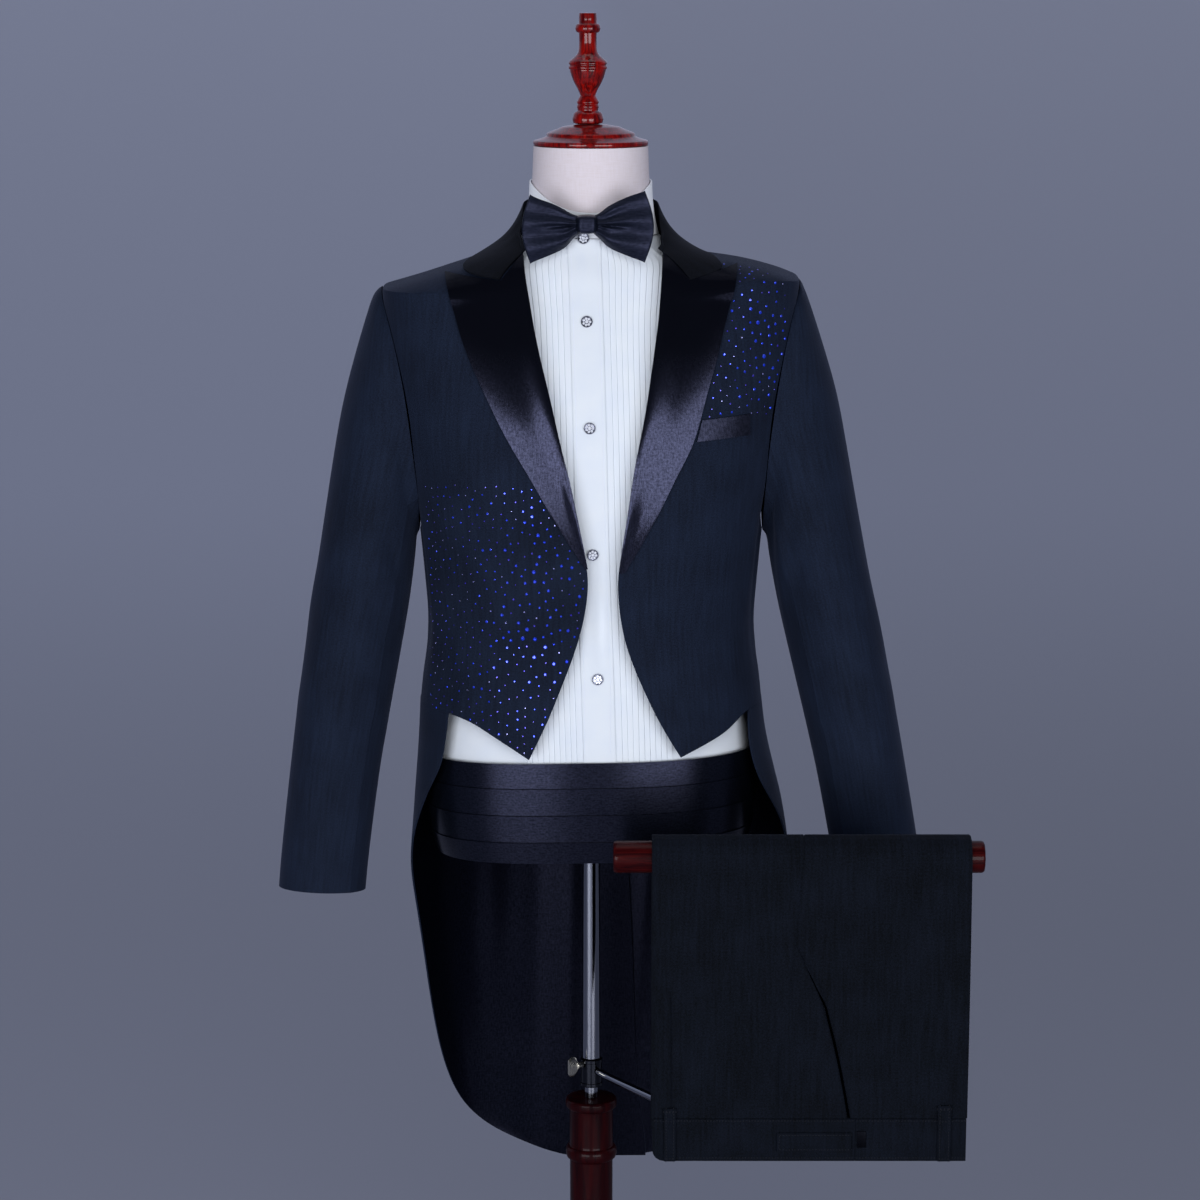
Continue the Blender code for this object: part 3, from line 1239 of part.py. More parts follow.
def make_form(linen):
    """The dress form: one smooth limbless torso with a round neck and a flat bottom."""
    loops = []
    for z in FORM_LEVELS:
        inset = smooth(FORM_INSET, z)
        loops.append([FORM.point(360 * step / FORM_SIDES, z, -inset) for step in range(FORM_SIDES)])
    for point in loops[0]:
        point.z = FORM_BOTTOM_Z
    for point in loops[-1]:
        point.z = NECK_TOP_Z
    loft("form_torso", loops, linen, sharp=60.0)


def make_arm(steel):
    """The arm from the clamp to the bar: a round rod that bends up under the bar."""
    clamp_reach = CLAMP_RADIUS + SEAM_GAP
    corner = Vector((ARM_X, BAR_Y, ARM_Z))
    run = Vector((ARM_X, BAR_Y, 0)).normalized()
    path = [run * clamp_reach + Vector((0, 0, ARM_Z + 0.008)), run * 0.05 + Vector((0, 0, ARM_Z + 0.006)),
            corner - run * ARM_BEND * 2]
    for step in range(6):
        turn = math.radians(90 * step / 5)
        path.append(corner - run * ARM_BEND * (1 - math.sin(turn))
                    + Vector((0, 0, ARM_BEND * (1 - math.cos(turn)))))
    path.append(Vector((ARM_X, BAR_Y, BAR_Z - BAR_RADIUS - SEAM_GAP)))
    rod("trouser_arm", path, ARM_RADIUS, 8, steel)


def make_knob(steel):
    """The wing screw that locks the clamp: a short shank and two flat wings."""
    outward = Vector((-0.80, -0.60, 0)).normalized()
    start = outward * (CLAMP_RADIUS + SEAM_GAP) + Vector((0, 0, KNOB_Z))
    aside = outward.cross(Vector((0, 0, 1)))
    loops = []
    for rise, half_high, half_wide in ((0.0, 0.0035, 0.0035), (0.006, 0.0035, 0.0035),
                                       (0.008, 0.0090, 0.0022), (0.013, 0.0120, 0.0020),
                                       (0.018, 0.0095, 0.0018)):
        loops.append([start + outward * rise + Vector((0, 0, 1)) * half_high * math.sin(turn)
                      + aside * half_wide * math.cos(turn)
                      for turn in (2 * math.pi * step / 10 for step in range(10))])
    loft("clamp_knob", loops, steel)


def make_bar(wood):
    """The wooden bar that the trousers hang over, with softly rounded ends."""
    ends = ((BAR_FROM_X, 0.75), (BAR_FROM_X + 0.002, 0.95), (BAR_FROM_X + 0.006, 1.0),
            (BAR_TO_X - 0.006, 1.0), (BAR_TO_X - 0.002, 0.95), (BAR_TO_X, 0.75))
    loops = [circle(Vector((x, BAR_Y, BAR_Z)), BAR_RADIUS * share, 16, Vector((0, 1, 0)),
                    Vector((0, 0, 1))) for x, share in ends]
    loft("trouser_bar", loops, wood)


def make_stand(linen, wood, steel):
    """Everything that carries the clothes."""
    make_form(linen)
    turned("neck_cap", CAP_PROFILE, 20, wood)
    turned("finial", FINIAL_PROFILE, 10, wood, x=FINIAL_X)
    turned("base", BASE_PROFILE, 28, wood)
    turned("post", POST_PROFILE, 16, wood)
    lower_top = CLAMP_BOTTOM_Z - SEAM_GAP
    turned("pole_lower", ((LOWER_POLE_RADIUS, POST_TOP_Z + SEAM_GAP), (LOWER_POLE_RADIUS, lower_top)),
           16, steel)
    turned("arm_clamp", ((CLAMP_RADIUS - 0.001, CLAMP_BOTTOM_Z), (CLAMP_RADIUS, CLAMP_BOTTOM_Z + 0.001),
                         (CLAMP_RADIUS, CLAMP_TOP_Z - 0.001), (CLAMP_RADIUS - 0.001, CLAMP_TOP_Z)),
           16, steel)
    turned("pole_upper", ((UPPER_POLE_RADIUS, CLAMP_TOP_Z + SEAM_GAP),
                          (UPPER_POLE_RADIUS, FORM_BOTTOM_Z - SEAM_GAP)), 16, steel)
    make_arm(steel)
    make_knob(steel)
    make_bar(wood)


def make_coat(wool, satin):
    """The tailcoat: body, tails, sleeves, collar, lapels and welt."""
    for side, word, cut, edge, swing in ((-1, "right", RIGHT_FRONT, RIGHT_TAIL_EDGE, 0.0),
                                         (1, "left", LEFT_FRONT, LEFT_TAIL_EDGE, LEFT_SWING)):
        make_front(f"coat_front_{word}", cut, wool)
        make_back(f"coat_back_{word}", side, wool)
        make_tail(f"tail_{word}", side, edge, wool)
        make_lapel(f"lapel_{word}", cut, satin)
        seam = math.degrees(SEAM_GAP / 2 / 0.05)
        make_sleeve(f"topsleeve_{word}", side, -BACK_SLEEVE_SEAM + seam, FRONT_SLEEVE_SEAM - seam,
                    TOPSLEEVE_STEPS, swing, wool)
        make_sleeve(f"undersleeve_{word}", side, FRONT_SLEEVE_SEAM + seam, 360 - BACK_SLEEVE_SEAM - seam,
                    UNDERSLEEVE_STEPS, swing, wool)
    make_collar("coat_collar", wool)
    make_welt("chest_welt", satin)


def make_shirt(cotton, crystal):
    """The shirt: fronts with tucks, back, placket, collar and studs."""
    make_shirt_front("shirt_front_right", -1, cotton)
    make_shirt_front("shirt_front_left", 1, cotton)
    make_shirt_back("shirt_back", cotton)
    make_placket("shirt_placket", cotton)
    make_shirt_collar("shirt_collar", cotton)
    for number, place in enumerate(STUDS, 1):
        make_stud(f"shirt_stud_{number}", place, crystal)


def main():
    """Build the whole object."""
    clear_scene()
    wool = finish("black fine wool", (0.006, 0.007, 0.010), 0.72, sheen=0.3)
    trouser_wool = finish("dark navy wool", (0.010, 0.012, 0.020), 0.85, sheen=0.3)
    satin = finish("black satin", (0.010, 0.010, 0.014), 0.32)
    cotton = finish("white cotton", (0.72, 0.76, 0.86), 0.80)
    crystal = finish("clear crystal in silver", (0.80, 0.82, 0.86), 0.12, 0.6)
    linen = finish("natural linen", (0.62, 0.55, 0.53), 0.90)
    wood = finish("mahogany lacquer", (0.19, 0.022, 0.014), 0.22)
    steel = finish("chromed steel", (0.75, 0.76, 0.78), 0.08, 1.0)
    hook_metal = finish("blackened steel", (0.02, 0.02, 0.022), 0.4, 0.8)
    make_coat(wool, satin)
    make_shirt(cotton, crystal)
    make_wing("bow_wing_right", RIGHT_WING, satin)
    make_wing("bow_wing_left", LEFT_WING, satin)
    make_knot("bow_knot", satin)
    make_cummerbund("cummerbund_front", satin)
    make_strap("cummerbund_back", satin)
    make_leg("trouser_leg_left", True, trouser_wool)
    make_leg("trouser_leg_right", False, trouser_wool)
    make_waistband(trouser_wool, hook_metal)
    make_stand(linen, wood, steel)


main()
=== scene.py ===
"""The looks of a tailcoat tuxedo on its dress form: cloth, satin, crystals, stitching, wood and chrome.

World frame: metres, +Z up, +X to the wearer's left, the coat faces -Y.  "right" and "left" in a name are
the wearer's.  Every cloth piece is cut from the frame's own solid: its points are merged, its faces
squared up and rounded, then the soft folds listed for it move its face and its lining together, so that a
seam stays closed.  What is sewn or set on the cloth finds its place by a ray on the finished piece.
"""
import json
import logging
import math
import random
from dataclasses import dataclass, field
from enum import Enum
from typing import Any, Callable, Optional, Sequence

import bmesh
import bpy
import numpy as np
from mathutils import Matrix, Vector
from mathutils.bvhtree import BVHTree

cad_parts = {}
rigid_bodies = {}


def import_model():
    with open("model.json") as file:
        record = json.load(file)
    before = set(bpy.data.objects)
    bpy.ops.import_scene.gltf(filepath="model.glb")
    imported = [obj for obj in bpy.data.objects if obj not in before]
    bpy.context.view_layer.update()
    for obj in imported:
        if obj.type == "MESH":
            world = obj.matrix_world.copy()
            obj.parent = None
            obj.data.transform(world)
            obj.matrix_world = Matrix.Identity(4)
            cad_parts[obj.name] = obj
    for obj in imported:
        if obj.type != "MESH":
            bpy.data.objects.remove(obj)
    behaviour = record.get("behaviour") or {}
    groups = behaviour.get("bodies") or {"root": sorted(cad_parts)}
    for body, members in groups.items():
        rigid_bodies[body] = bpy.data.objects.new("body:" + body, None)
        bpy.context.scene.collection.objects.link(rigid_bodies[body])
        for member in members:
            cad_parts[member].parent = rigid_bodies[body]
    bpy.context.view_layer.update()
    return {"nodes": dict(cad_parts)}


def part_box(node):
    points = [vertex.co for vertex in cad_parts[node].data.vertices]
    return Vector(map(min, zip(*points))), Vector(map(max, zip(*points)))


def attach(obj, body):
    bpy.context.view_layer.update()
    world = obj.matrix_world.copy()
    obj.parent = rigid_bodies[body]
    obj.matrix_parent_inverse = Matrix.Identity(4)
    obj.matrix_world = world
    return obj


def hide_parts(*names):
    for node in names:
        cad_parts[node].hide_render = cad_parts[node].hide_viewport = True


log = logging.getLogger("tuxedo")

MM = 0.001
GRAIN = "grain"  # the UV map that a cloth's threads follow, in metres
MERGE = 0.00002  # a node's points that lie nearer than this are one
QUAD_BEND, QUAD_SKEW = 35.0, 75.0  # degrees: two triangles bent or skewed more than this stay apart
GIVEN_BACK = 0.9  # this share of what rounding takes off a shape is put on it first
LOOKS_FRONT = -0.3  # a face or point whose normal has less Y than this looks to the front
TROUSER_BAR_Y = -0.270  # the bar's middle, with the trousers' face in front of it
MIX_FACTOR, MIX_A, MIX_B, MIX_COLOUR = 0, 6, 7, 2  # a colour Mix node's sockets

Piece, Mesh = bpy.types.Object, bpy.types.Mesh
Tree, Node = bpy.types.NodeTree, bpy.types.Node
Line = Sequence[tuple[float, float]]  # places along a profile, or along a row of stitches
Reshape = Callable[[Mesh], None]  # what is done to a cloth's mesh before it is shaded
Outline = tuple[tuple[float, float], ...]  # (radius, z) up a turned shape, or (x, z) from the front
Seat = tuple[Vector, Vector, float]  # a point on cloth, the way out of it, and a size
Spot = tuple[Vector, Vector, str]  # a point on cloth, the way out of it, and the piece's name


# ---- Node helpers ---------------------------------------------------------------------------
def linear(code: str) -> tuple[float, float, float, float]:
    """Turn an sRGB hex colour to linear RGBA.

    Args:
        code: six hex digits after a #.
    Returns:
        Linear red, green and blue with an alpha of 1.
    """
    channels = [int(code[place:place + 2], 16) / 255 for place in (1, 3, 5)]
    plain = [c / 12.92 if c <= 0.04045 else ((c + 0.055) / 1.055) ** 2.4 for c in channels]
    return (*plain, 1.0)


def add(tree: Tree, kind: str, inputs: Optional[dict] = None, **settings: Any) -> Node:
    """Add a node with its settings and links.

    Args:
        tree: the node tree it goes into.
        kind: the node's type name.
        inputs: what is fed to its inputs.
        settings: the node's own properties.
    Returns:
        The node.
    """
    node = tree.nodes.new(kind)
    for key, value in settings.items():
        setattr(node, key, value)
    feed(node, inputs or {})
    return node


def feed(node: Node, inputs: dict) -> None:
    """Set or link a node's inputs.

    Args:
        node: the node.
        inputs: a value, or another node's output socket, for each named or numbered input.
    """
    for key, value in inputs.items():
        if isinstance(value, bpy.types.NodeSocket):
            node.id_data.links.new(value, node.inputs[key])
        else:
            node.inputs[key].default_value = value


def waves(pitch_mm: float) -> float:
    """The scale that gives a Wave texture's bands this pitch."""
    return math.pi / 10 / (pitch_mm * MM)


def grains(size_mm: float) -> float:
    """The scale that gives a Noise texture's features this size."""
    return 1 / (size_mm * MM)


# ---- Finishes -------------------------------------------------------------------------------
@dataclass(frozen=True)
class Finish:
    """A material, made once and shared by the pieces that have it."""

    name: str
    slot: str
    colour: str
    roughness: float

    def build(self) -> bpy.types.Material:
        """Make the material, or find the one that was made before.

        Returns:
            The material.
        """
        known = bpy.data.materials.get(self.name)
        if known:
            return known
        material = bpy.data.materials.new(self.name)
        material.use_nodes = True
        shader = material.node_tree.nodes["Principled BSDF"]
        feed(shader, {"Base Color": linear(self.colour), "Roughness": self.roughness})
        self.dress(material.node_tree, shader)
        return material

    def dress(self, tree: Tree, shader: Node) -> None:
        """Add the pattern and relief that the real surface has.

        Args:
            tree: the material's nodes.
            shader: its Principled shader.
        """
        raise NotImplementedError


@dataclass(frozen=True)
class Worsted(Finish):
    """Worsted wool twill: matt, with a nap that lightens where it is seen edge-on."""

    light: str = "#161f31"
    twill_mm: float = 1.3  # real threads are 0.3 mm apart, drawn coarser so that they show
    nap_mm: float = 1.6
    relief_mm: float = 0.10
    sheen: float = 0.10
    cloud_mm: float = 60.0

    def dress(self, tree: Tree, shader: Node) -> None:
        """Twill lines on the grain, a fine nap, faint streaks down the warp and slow clouds of wear.

        Args:
            tree: the material's nodes.
            shader: its Principled shader.
        """
        cloth = add(tree, "ShaderNodeUVMap", uv_map=GRAIN).outputs["UV"]
        on_bias = add(tree, "ShaderNodeMapping", {"Vector": cloth, "Rotation": (0.0, 0.0, math.radians(27))})
        twill = add(tree, "ShaderNodeTexWave", {
            "Vector": on_bias.outputs["Vector"], "Scale": waves(self.twill_mm), "Distortion": 1.5,
            "Detail": 1.0, "Detail Scale": 1.5}, bands_direction="X")
        nap = add(tree, "ShaderNodeTexNoise", {
            "Vector": cloth, "Scale": grains(self.nap_mm), "Detail": 3.0, "Roughness": 0.65})
        down_warp = add(tree, "ShaderNodeMapping", {"Vector": cloth, "Scale": (1.0, 0.06, 1.0)})
        warp = add(tree, "ShaderNodeTexNoise", {
            "Vector": down_warp.outputs["Vector"], "Scale": grains(3.0), "Detail": 2.0})
        cloud = add(tree, "ShaderNodeTexNoise", {
            "Vector": cloth, "Scale": grains(self.cloud_mm), "Detail": 3.0})
        both = add(tree, "ShaderNodeMath", {0: warp.outputs["Fac"], 1: cloud.outputs["Fac"]}, operation="ADD")
        all_three = add(tree, "ShaderNodeMath", {
            0: nap.outputs["Fac"], 1: 2.0, 2: both.outputs["Value"]}, operation="MULTIPLY_ADD")
        spread = add(tree, "ShaderNodeMapRange", {
            "Value": all_three.outputs["Value"], "From Min": 1.55, "From Max": 2.45})
        mixed = add(tree, "ShaderNodeMix", {
            MIX_FACTOR: spread.outputs["Result"], MIX_A: linear(self.colour), MIX_B: linear(self.light)},
            data_type="RGBA")
        height = add(tree, "ShaderNodeMath", {0: twill.outputs["Fac"], 1: nap.outputs["Fac"]},
                     operation="ADD")
        bump = add(tree, "ShaderNodeBump", {
            "Height": height.outputs["Value"], "Distance": self.relief_mm * MM, "Strength": 0.8})
        feed(shader, {"Base Color": mixed.outputs[MIX_COLOUR], "Normal": bump.outputs["Normal"],
                      "Sheen Weight": self.sheen, "Sheen Roughness": 0.45,
                      "Sheen Tint": linear("#8f9bc4"), "Specular IOR Level": 0.10})


class Warp(Enum):
    """Which way a satin's floats run, in degrees of its grain's turn.  Light spreads across them."""

    UPRIGHT = 0.0
    LEVEL = 90.0


@dataclass(frozen=True)
class Satin(Finish):
    """Satin-woven acetate: long floats that throw a wide soft highlight across their run."""

    warp: Warp = Warp.UPRIGHT
    thread_mm: float = 0.9  # floats are finer than 0.1 mm, drawn coarser so that the grain shows
    grain_mm: float = 2.2
    relief_mm: float = 0.04
    gloss: float = 0.5
    spread: float = 0.80  # how much wider the highlight is across the floats
    turned: tuple[float, float] = (0.0, 0.0)  # between these heights its gloss is painted away upwards, a painted shade

    def dress(self, tree: Tree, shader: Node) -> None:
        """Fine threads across the floats and a pebbled grain that breaks the highlight up.

        Args:
            tree: the material's nodes.
            shader: its Principled shader.
        """
        cloth = add(tree, "ShaderNodeUVMap", uv_map=GRAIN).outputs["UV"]
        along = add(tree, "ShaderNodeMapping", {
            "Vector": cloth, "Rotation": (0.0, 0.0, math.radians(self.warp.value))})
        squeezed = add(tree, "ShaderNodeMapping", {
            "Vector": along.outputs["Vector"], "Scale": (1.0, 0.12, 1.0)})
        floats = add(tree, "ShaderNodeTexNoise", {
            "Vector": squeezed.outputs["Vector"], "Scale": grains(self.thread_mm), "Detail": 2.0})
        pebble = add(tree, "ShaderNodeTexNoise", {
            "Vector": cloth, "Scale": grains(self.grain_mm), "Detail": 2.0})
        bump = add(tree, "ShaderNodeBump", {
            "Height": floats.outputs["Fac"], "Distance": self.relief_mm * MM, "Strength": 0.7})
        speckle = add(tree, "ShaderNodeMath", {0: floats.outputs["Fac"], 1: pebble.outputs["Fac"]},
                      operation="ADD")
        shine = add(tree, "ShaderNodeMapRange", {
            "Value": speckle.outputs["Value"], "From Min": 0.75, "From Max": 1.25,
            "To Min": self.gloss * 0.55, "To Max": self.gloss * 1.45})
        level = shine.outputs["Result"]
        # painted shade: the gloss is painted away above the given heights, so the top of the piece stays dark
        if self.turned[1]:
            place = add(tree, "ShaderNodeTexCoord").outputs["Object"]
            parts = add(tree, "ShaderNodeSeparateXYZ", {"Vector": place})
            painted_gloss_fade = add(tree, "ShaderNodeMapRange", {
                "Value": parts.outputs["Z"], "From Min": self.turned[0], "From Max": self.turned[1],
                "To Min": 1.0, "To Max": 0.10}, interpolation_type="SMOOTHSTEP")
            level = add(tree, "ShaderNodeMath", {0: level, 1: painted_gloss_fade.outputs["Result"]},
                        operation="MULTIPLY").outputs["Value"]
        tangent = add(tree, "ShaderNodeTangent", direction_type="UV_MAP", uv_map=GRAIN)
        feed(shader, {"Normal": bump.outputs["Normal"], "Specular IOR Level": self.gloss,
                      "Tangent": tangent.outputs["Tangent"], "Anisotropic": self.spread,
                      "Anisotropic Rotation": self.warp.value / 360, "Specular Tint": linear("#c3c9ff")})
        feed(shader, {"Specular IOR Level": level})


@dataclass(frozen=True)
class Poplin(Finish):
    """Cotton poplin: a close plain weave, matt and bright."""

    shade: str = "#ccd4df"
    thread_mm: float = 0.8  # real threads are 0.25 mm apart, drawn coarser so that they show
    relief_mm: float = 0.03

    def dress(self, tree: Tree, shader: Node) -> None:
        """Warp and weft threads as two crossed waves, with a faint uneven whiteness.

        Args:
            tree: the material's nodes.
            shader: its Principled shader.
        """
        cloth = add(tree, "ShaderNodeUVMap", uv_map=GRAIN).outputs["UV"]
        warp, weft = (add(tree, "ShaderNodeTexWave",
                          {"Vector": cloth, "Scale": waves(self.thread_mm), "Distortion": 0.6},
                          bands_direction=way) for way in ("X", "Y"))
        weave = add(tree, "ShaderNodeMath", {0: warp.outputs["Fac"], 1: weft.outputs["Fac"]},
                    operation="MAXIMUM")
        cloud = add(tree, "ShaderNodeTexNoise", {"Vector": cloth, "Scale": grains(30), "Detail": 3.0})
        mixed = add(tree, "ShaderNodeMix", {
            MIX_FACTOR: cloud.outputs["Fac"], MIX_A: linear(self.colour), MIX_B: linear(self.shade)},
            data_type="RGBA")
        bump = add(tree, "ShaderNodeBump", {
            "Height": weave.outputs["Value"], "Distance": self.relief_mm * MM, "Strength": 0.5})
        feed(shader, {"Base Color": mixed.outputs[MIX_COLOUR], "Normal": bump.outputs["Normal"],
                      "Sheen Weight": 0.10, "Specular IOR Level": 0.25})


@dataclass(frozen=True)
class Linen(Finish):
    """Linen pulled smooth over the form: a plain weave with slubs both ways."""

    shade: str = "#bfb2ae"
    thread_mm: float = 1.0
    relief_mm: float = 0.05

    def dress(self, tree: Tree, shader: Node) -> None:
        """Crossed threads, and slubs as noise drawn out along each of them.

        Args:
            tree: the material's nodes.
            shader: its Principled shader.
        """
        cloth = add(tree, "ShaderNodeUVMap", uv_map=GRAIN).outputs["UV"]
        heights = []
        for direction, squeeze in (("X", (1.0, 0.08, 1.0)), ("Y", (0.08, 1.0, 1.0))):
            threads = add(tree, "ShaderNodeTexWave", {
                "Vector": cloth, "Scale": waves(self.thread_mm), "Distortion": 2.0, "Detail": 2.0,
                "Detail Scale": 0.5}, bands_direction=direction)
            drawn = add(tree, "ShaderNodeMapping", {"Vector": cloth, "Scale": squeeze})
            slub = add(tree, "ShaderNodeTexNoise", {
                "Vector": drawn.outputs["Vector"], "Scale": grains(1.3), "Detail": 2.0})
            heights.append(add(tree, "ShaderNodeMath", {0: threads.outputs["Fac"], 1: slub.outputs["Fac"]},
                               operation="MULTIPLY"))
        weave = add(tree, "ShaderNodeMath", {0: heights[0].outputs["Value"], 1: heights[1].outputs["Value"]},
                    operation="ADD")
        spread = add(tree, "ShaderNodeMapRange", {
            "Value": weave.outputs["Value"], "From Min": 0.1, "From Max": 0.9, "To Min": 0.75, "To Max": 0.0})
        mixed = add(tree, "ShaderNodeMix", {
            MIX_FACTOR: spread.outputs["Result"], MIX_A: linear(self.colour), MIX_B: linear(self.shade)},
            data_type="RGBA")
        bump = add(tree, "ShaderNodeBump", {
            "Height": weave.outputs["Value"], "Distance": self.relief_mm * MM, "Strength": 0.6})
        feed(shader, {"Base Color": mixed.outputs[MIX_COLOUR], "Normal": bump.outputs["Normal"],
                      "Specular IOR Level": 0.2})


@dataclass(frozen=True)
class Lacquer(Finish):
    """Turned beech stained red under a clear gloss lacquer: dark figure below, sharp lights on top."""

    figure: str = "#8a1f17"
    grain_mm: float = 5.0
    gloss: float = 0.8
    run: tuple[float, float, float] = (1.0, 1.0, 0.08)  # the least is the axis the grain runs along
    pore_mm: float = 0.05  # how deep the pores are

    def dress(self, tree: Tree, shader: Node) -> None:
        """Wavy figure drawn out along the grain, fine pores, and the lacquer as a coat.

        Args:
            tree: the material's nodes.
            shader: its Principled shader.
        """
        place = add(tree, "ShaderNodeTexCoord").outputs["Object"]
        drawn = add(tree, "ShaderNodeMapping", {"Vector": place, "Scale": self.run})
        figure = add(tree, "ShaderNodeTexNoise", {
            "Vector": drawn.outputs["Vector"], "Scale": grains(self.grain_mm), "Detail": 5.0,
            "Roughness": 0.65, "Distortion": 1.2})
        spread = add(tree, "ShaderNodeMapRange", {
            "Value": figure.outputs["Fac"], "From Min": 0.38, "From Max": 0.66})
        mixed = add(tree, "ShaderNodeMix", {
            MIX_FACTOR: spread.outputs["Result"], MIX_A: linear(self.colour), MIX_B: linear(self.figure)},
            data_type="RGBA")
        pores = add(tree, "ShaderNodeTexNoise", {
            "Vector": drawn.outputs["Vector"], "Scale": grains(0.8), "Detail": 2.0})
        bump = add(tree, "ShaderNodeBump", {
            "Height": pores.outputs["Fac"], "Distance": self.pore_mm * MM, "Strength": 0.3})
        feed(shader, {"Base Color": mixed.outputs[MIX_COLOUR], "Normal": bump.outputs["Normal"],
                      "Specular IOR Level": 0.04, "Coat Weight": self.gloss, "Coat Roughness": 0.05})


@dataclass(frozen=True)
class Metal(Finish):
    """Polished plating: a mirror with faint drawn lines and finger dullness."""

    def dress(self, tree: Tree, shader: Node) -> None:
        """Uneven polish in faint lines up the metal.

        Args:
            tree: the material's nodes.
            shader: its Principled shader.
        """
        place = add(tree, "ShaderNodeTexCoord").outputs["Object"]
        drawn = add(tree, "ShaderNodeMapping", {"Vector": place, "Scale": (1.0, 1.0, 0.03)})
        lines = add(tree, "ShaderNodeTexNoise", {
            "Vector": drawn.outputs["Vector"], "Scale": grains(0.9), "Detail": 2.0})
        polish = add(tree, "ShaderNodeMapRange", {
            "Value": lines.outputs["Fac"], "To Min": self.roughness * 0.6, "To Max": self.roughness * 1.6})
        feed(shader, {"Roughness": polish.outputs["Result"], "Metallic": 1.0})


@dataclass(frozen=True)
class CutGlass(Finish):
    """Foil-backed cut glass: each facet mirrors the foil's colour under a clear gloss."""

    deep: str = "#0b1160"
    foil: float = 0.85  # how much of its light the foil mirrors

    def dress(self, tree: Tree, shader: Node) -> None:
        """A slow drift of colour from stone to stone.

        Args:
            tree: the material's nodes.
            shader: its Principled shader.
        """
        place = add(tree, "ShaderNodeTexCoord").outputs["Object"]
        drift = add(tree, "ShaderNodeTexNoise", {"Vector": place, "Scale": grains(7), "Detail": 1.0})
        mixed = add(tree, "ShaderNodeMix", {
            MIX_FACTOR: drift.outputs["Fac"], MIX_A: linear(self.colour), MIX_B: linear(self.deep)},
            data_type="RGBA")
        feed(shader, {"Base Color": mixed.outputs[MIX_COLOUR], "Metallic": self.foil, "Coat Weight": 1.0,
                      "Coat Roughness": 0.02})


@dataclass(frozen=True)
class Thread(Finish):
    """Spun sewing thread: matt, with a fine twist."""

    def dress(self, tree: Tree, shader: Node) -> None:
        """The twist as a fine wave.

        Args:
            tree: the material's nodes.
            shader: its Principled shader.
        """
        place = add(tree, "ShaderNodeTexCoord").outputs["Object"]
        twist = add(tree, "ShaderNodeTexWave", {"Vector": place, "Scale": waves(0.5)},
                    bands_direction="DIAGONAL")
        bump = add(tree, "ShaderNodeBump", {
            "Height": twist.outputs["Fac"], "Distance": 0.05 * MM, "Strength": 0.5})
        feed(shader, {"Normal": bump.outputs["Normal"]})


# Worsted twill, dyed midnight blue and pressed: matt, a little paler where its nap stands up.
COAT_WOOL = Worsted("worsted_coat_wool", "wool", "#0b111e", 0.80)
# The coat's worsted on the collar, painted nearly black as painted shade for its shadow, with hardly any nap.
COLLAR_WOOL_PAINTED_SHADE = Worsted("worsted_collar_wool", "wool", "#020306", 0.85, light="#0a0d15", sheen=0.03)
# A heavier, coarser worsted for the trousers: a dull dark cloth whose grain is all that shows.
TROUSER_WOOL = Worsted("worsted_trouser_wool", "trouser_wool", "#020408", 0.90, light="#0b101a",
                       twill_mm=1.8, nap_mm=2.0, relief_mm=0.16, sheen=0.03, cloud_mm=45.0)
# Woven acetate lining: black, with a low and slippery gleam.
LINING = Satin("lining_satin", "wool", "#010206", 0.36, gloss=0.15, spread=0.3)
# Acetate satin, pressed over the lapels' roll: grey-blue light on the turned part below; black above, as
# painted shade.
LAPEL_SATIN = Satin("lapel_satin", "satin", "#07080e", 0.24, gloss=0.38, spread=0.94, turned=(1.320, 1.365))
# The same satin cut small and pressed flat: one even, grainy gleam.
WELT_SATIN = Satin("welt_satin", "satin", "#05070d", 0.34, gloss=0.30, spread=0.6, grain_mm=4.0)
# Soft satin gathered into a bow: each ridge of its pleats catches a little light.
BOW_SATIN = Satin("bow_satin", "satin", "#0b0f19", 0.46, gloss=0.34, warp=Warp.LEVEL, spread=0.3)
# Satin laid in level folds and pulled tight: tall soft bands of light across all of them.
SASH_SATIN = Satin("sash_satin", "satin", "#05070d", 0.32, gloss=0.45, warp=Warp.LEVEL, spread=0.7,
                   relief_mm=0.07)
# Bleached cotton poplin, ironed: bright and matt, its tucks drawn by their own thin shadows.
SHIRT_COTTON = Poplin("poplin_shirt_cotton", "cotton", "#d8dde1", 0.80)
# The same poplin on the collar, painted whiter than the shirt as painted light against the shade its wings
# lie in.
COLLAR_COTTON_PAINTED_LIGHT = Poplin("starched_collar_cotton", "cotton", "#f3f6fa", 0.75, shade="#e9edf5")
# Plain-woven linen stretched over the form: chalky, faintly pink, with a slub here and there.
FORM_LINEN = Linen("linen_form_cover", "linen", "#d8d2dc", 0.90)
# Turned beech, stained red and lacquered: a glowing red figure under small sharp lights.
RED_WOOD = Lacquer("lacquered_red_beech", "wood", "#3c0306", 0.32, figure="#8f0f08", gloss=0.62)
# The same beech on the post and base, painted darker as painted shade low on the stand, and rubbed: dark
# oxblood wood with faint lights.
RED_WOOD_PAINTED_SHADE = Lacquer("lacquered_dark_red_beech", "wood", "#160306", 0.40, figure="#270507",
                        grain_mm=9.0, gloss=0.09)
# The bar's beech, whose figure runs along it.
RED_WOOD_BAR = Lacquer("lacquered_red_beech_bar", "wood", "#1b0204", 0.40, figure="#380606", gloss=0.12,
                       run=(0.08, 1.0, 1.0))
# Chromed steel tube, polished: the studio in tall stripes.
CHROME = Metal("chrome_plate", "steel", "#9699a2", 0.09)
# The clamp's steel plate, painted dark as a painted reflection of the dark studio before it: the same
# stripes, much darker.
CLAMP_METAL_PAINTED_DARK = Metal("blackened_clamp_plate", "steel", "#34363d", 0.10)
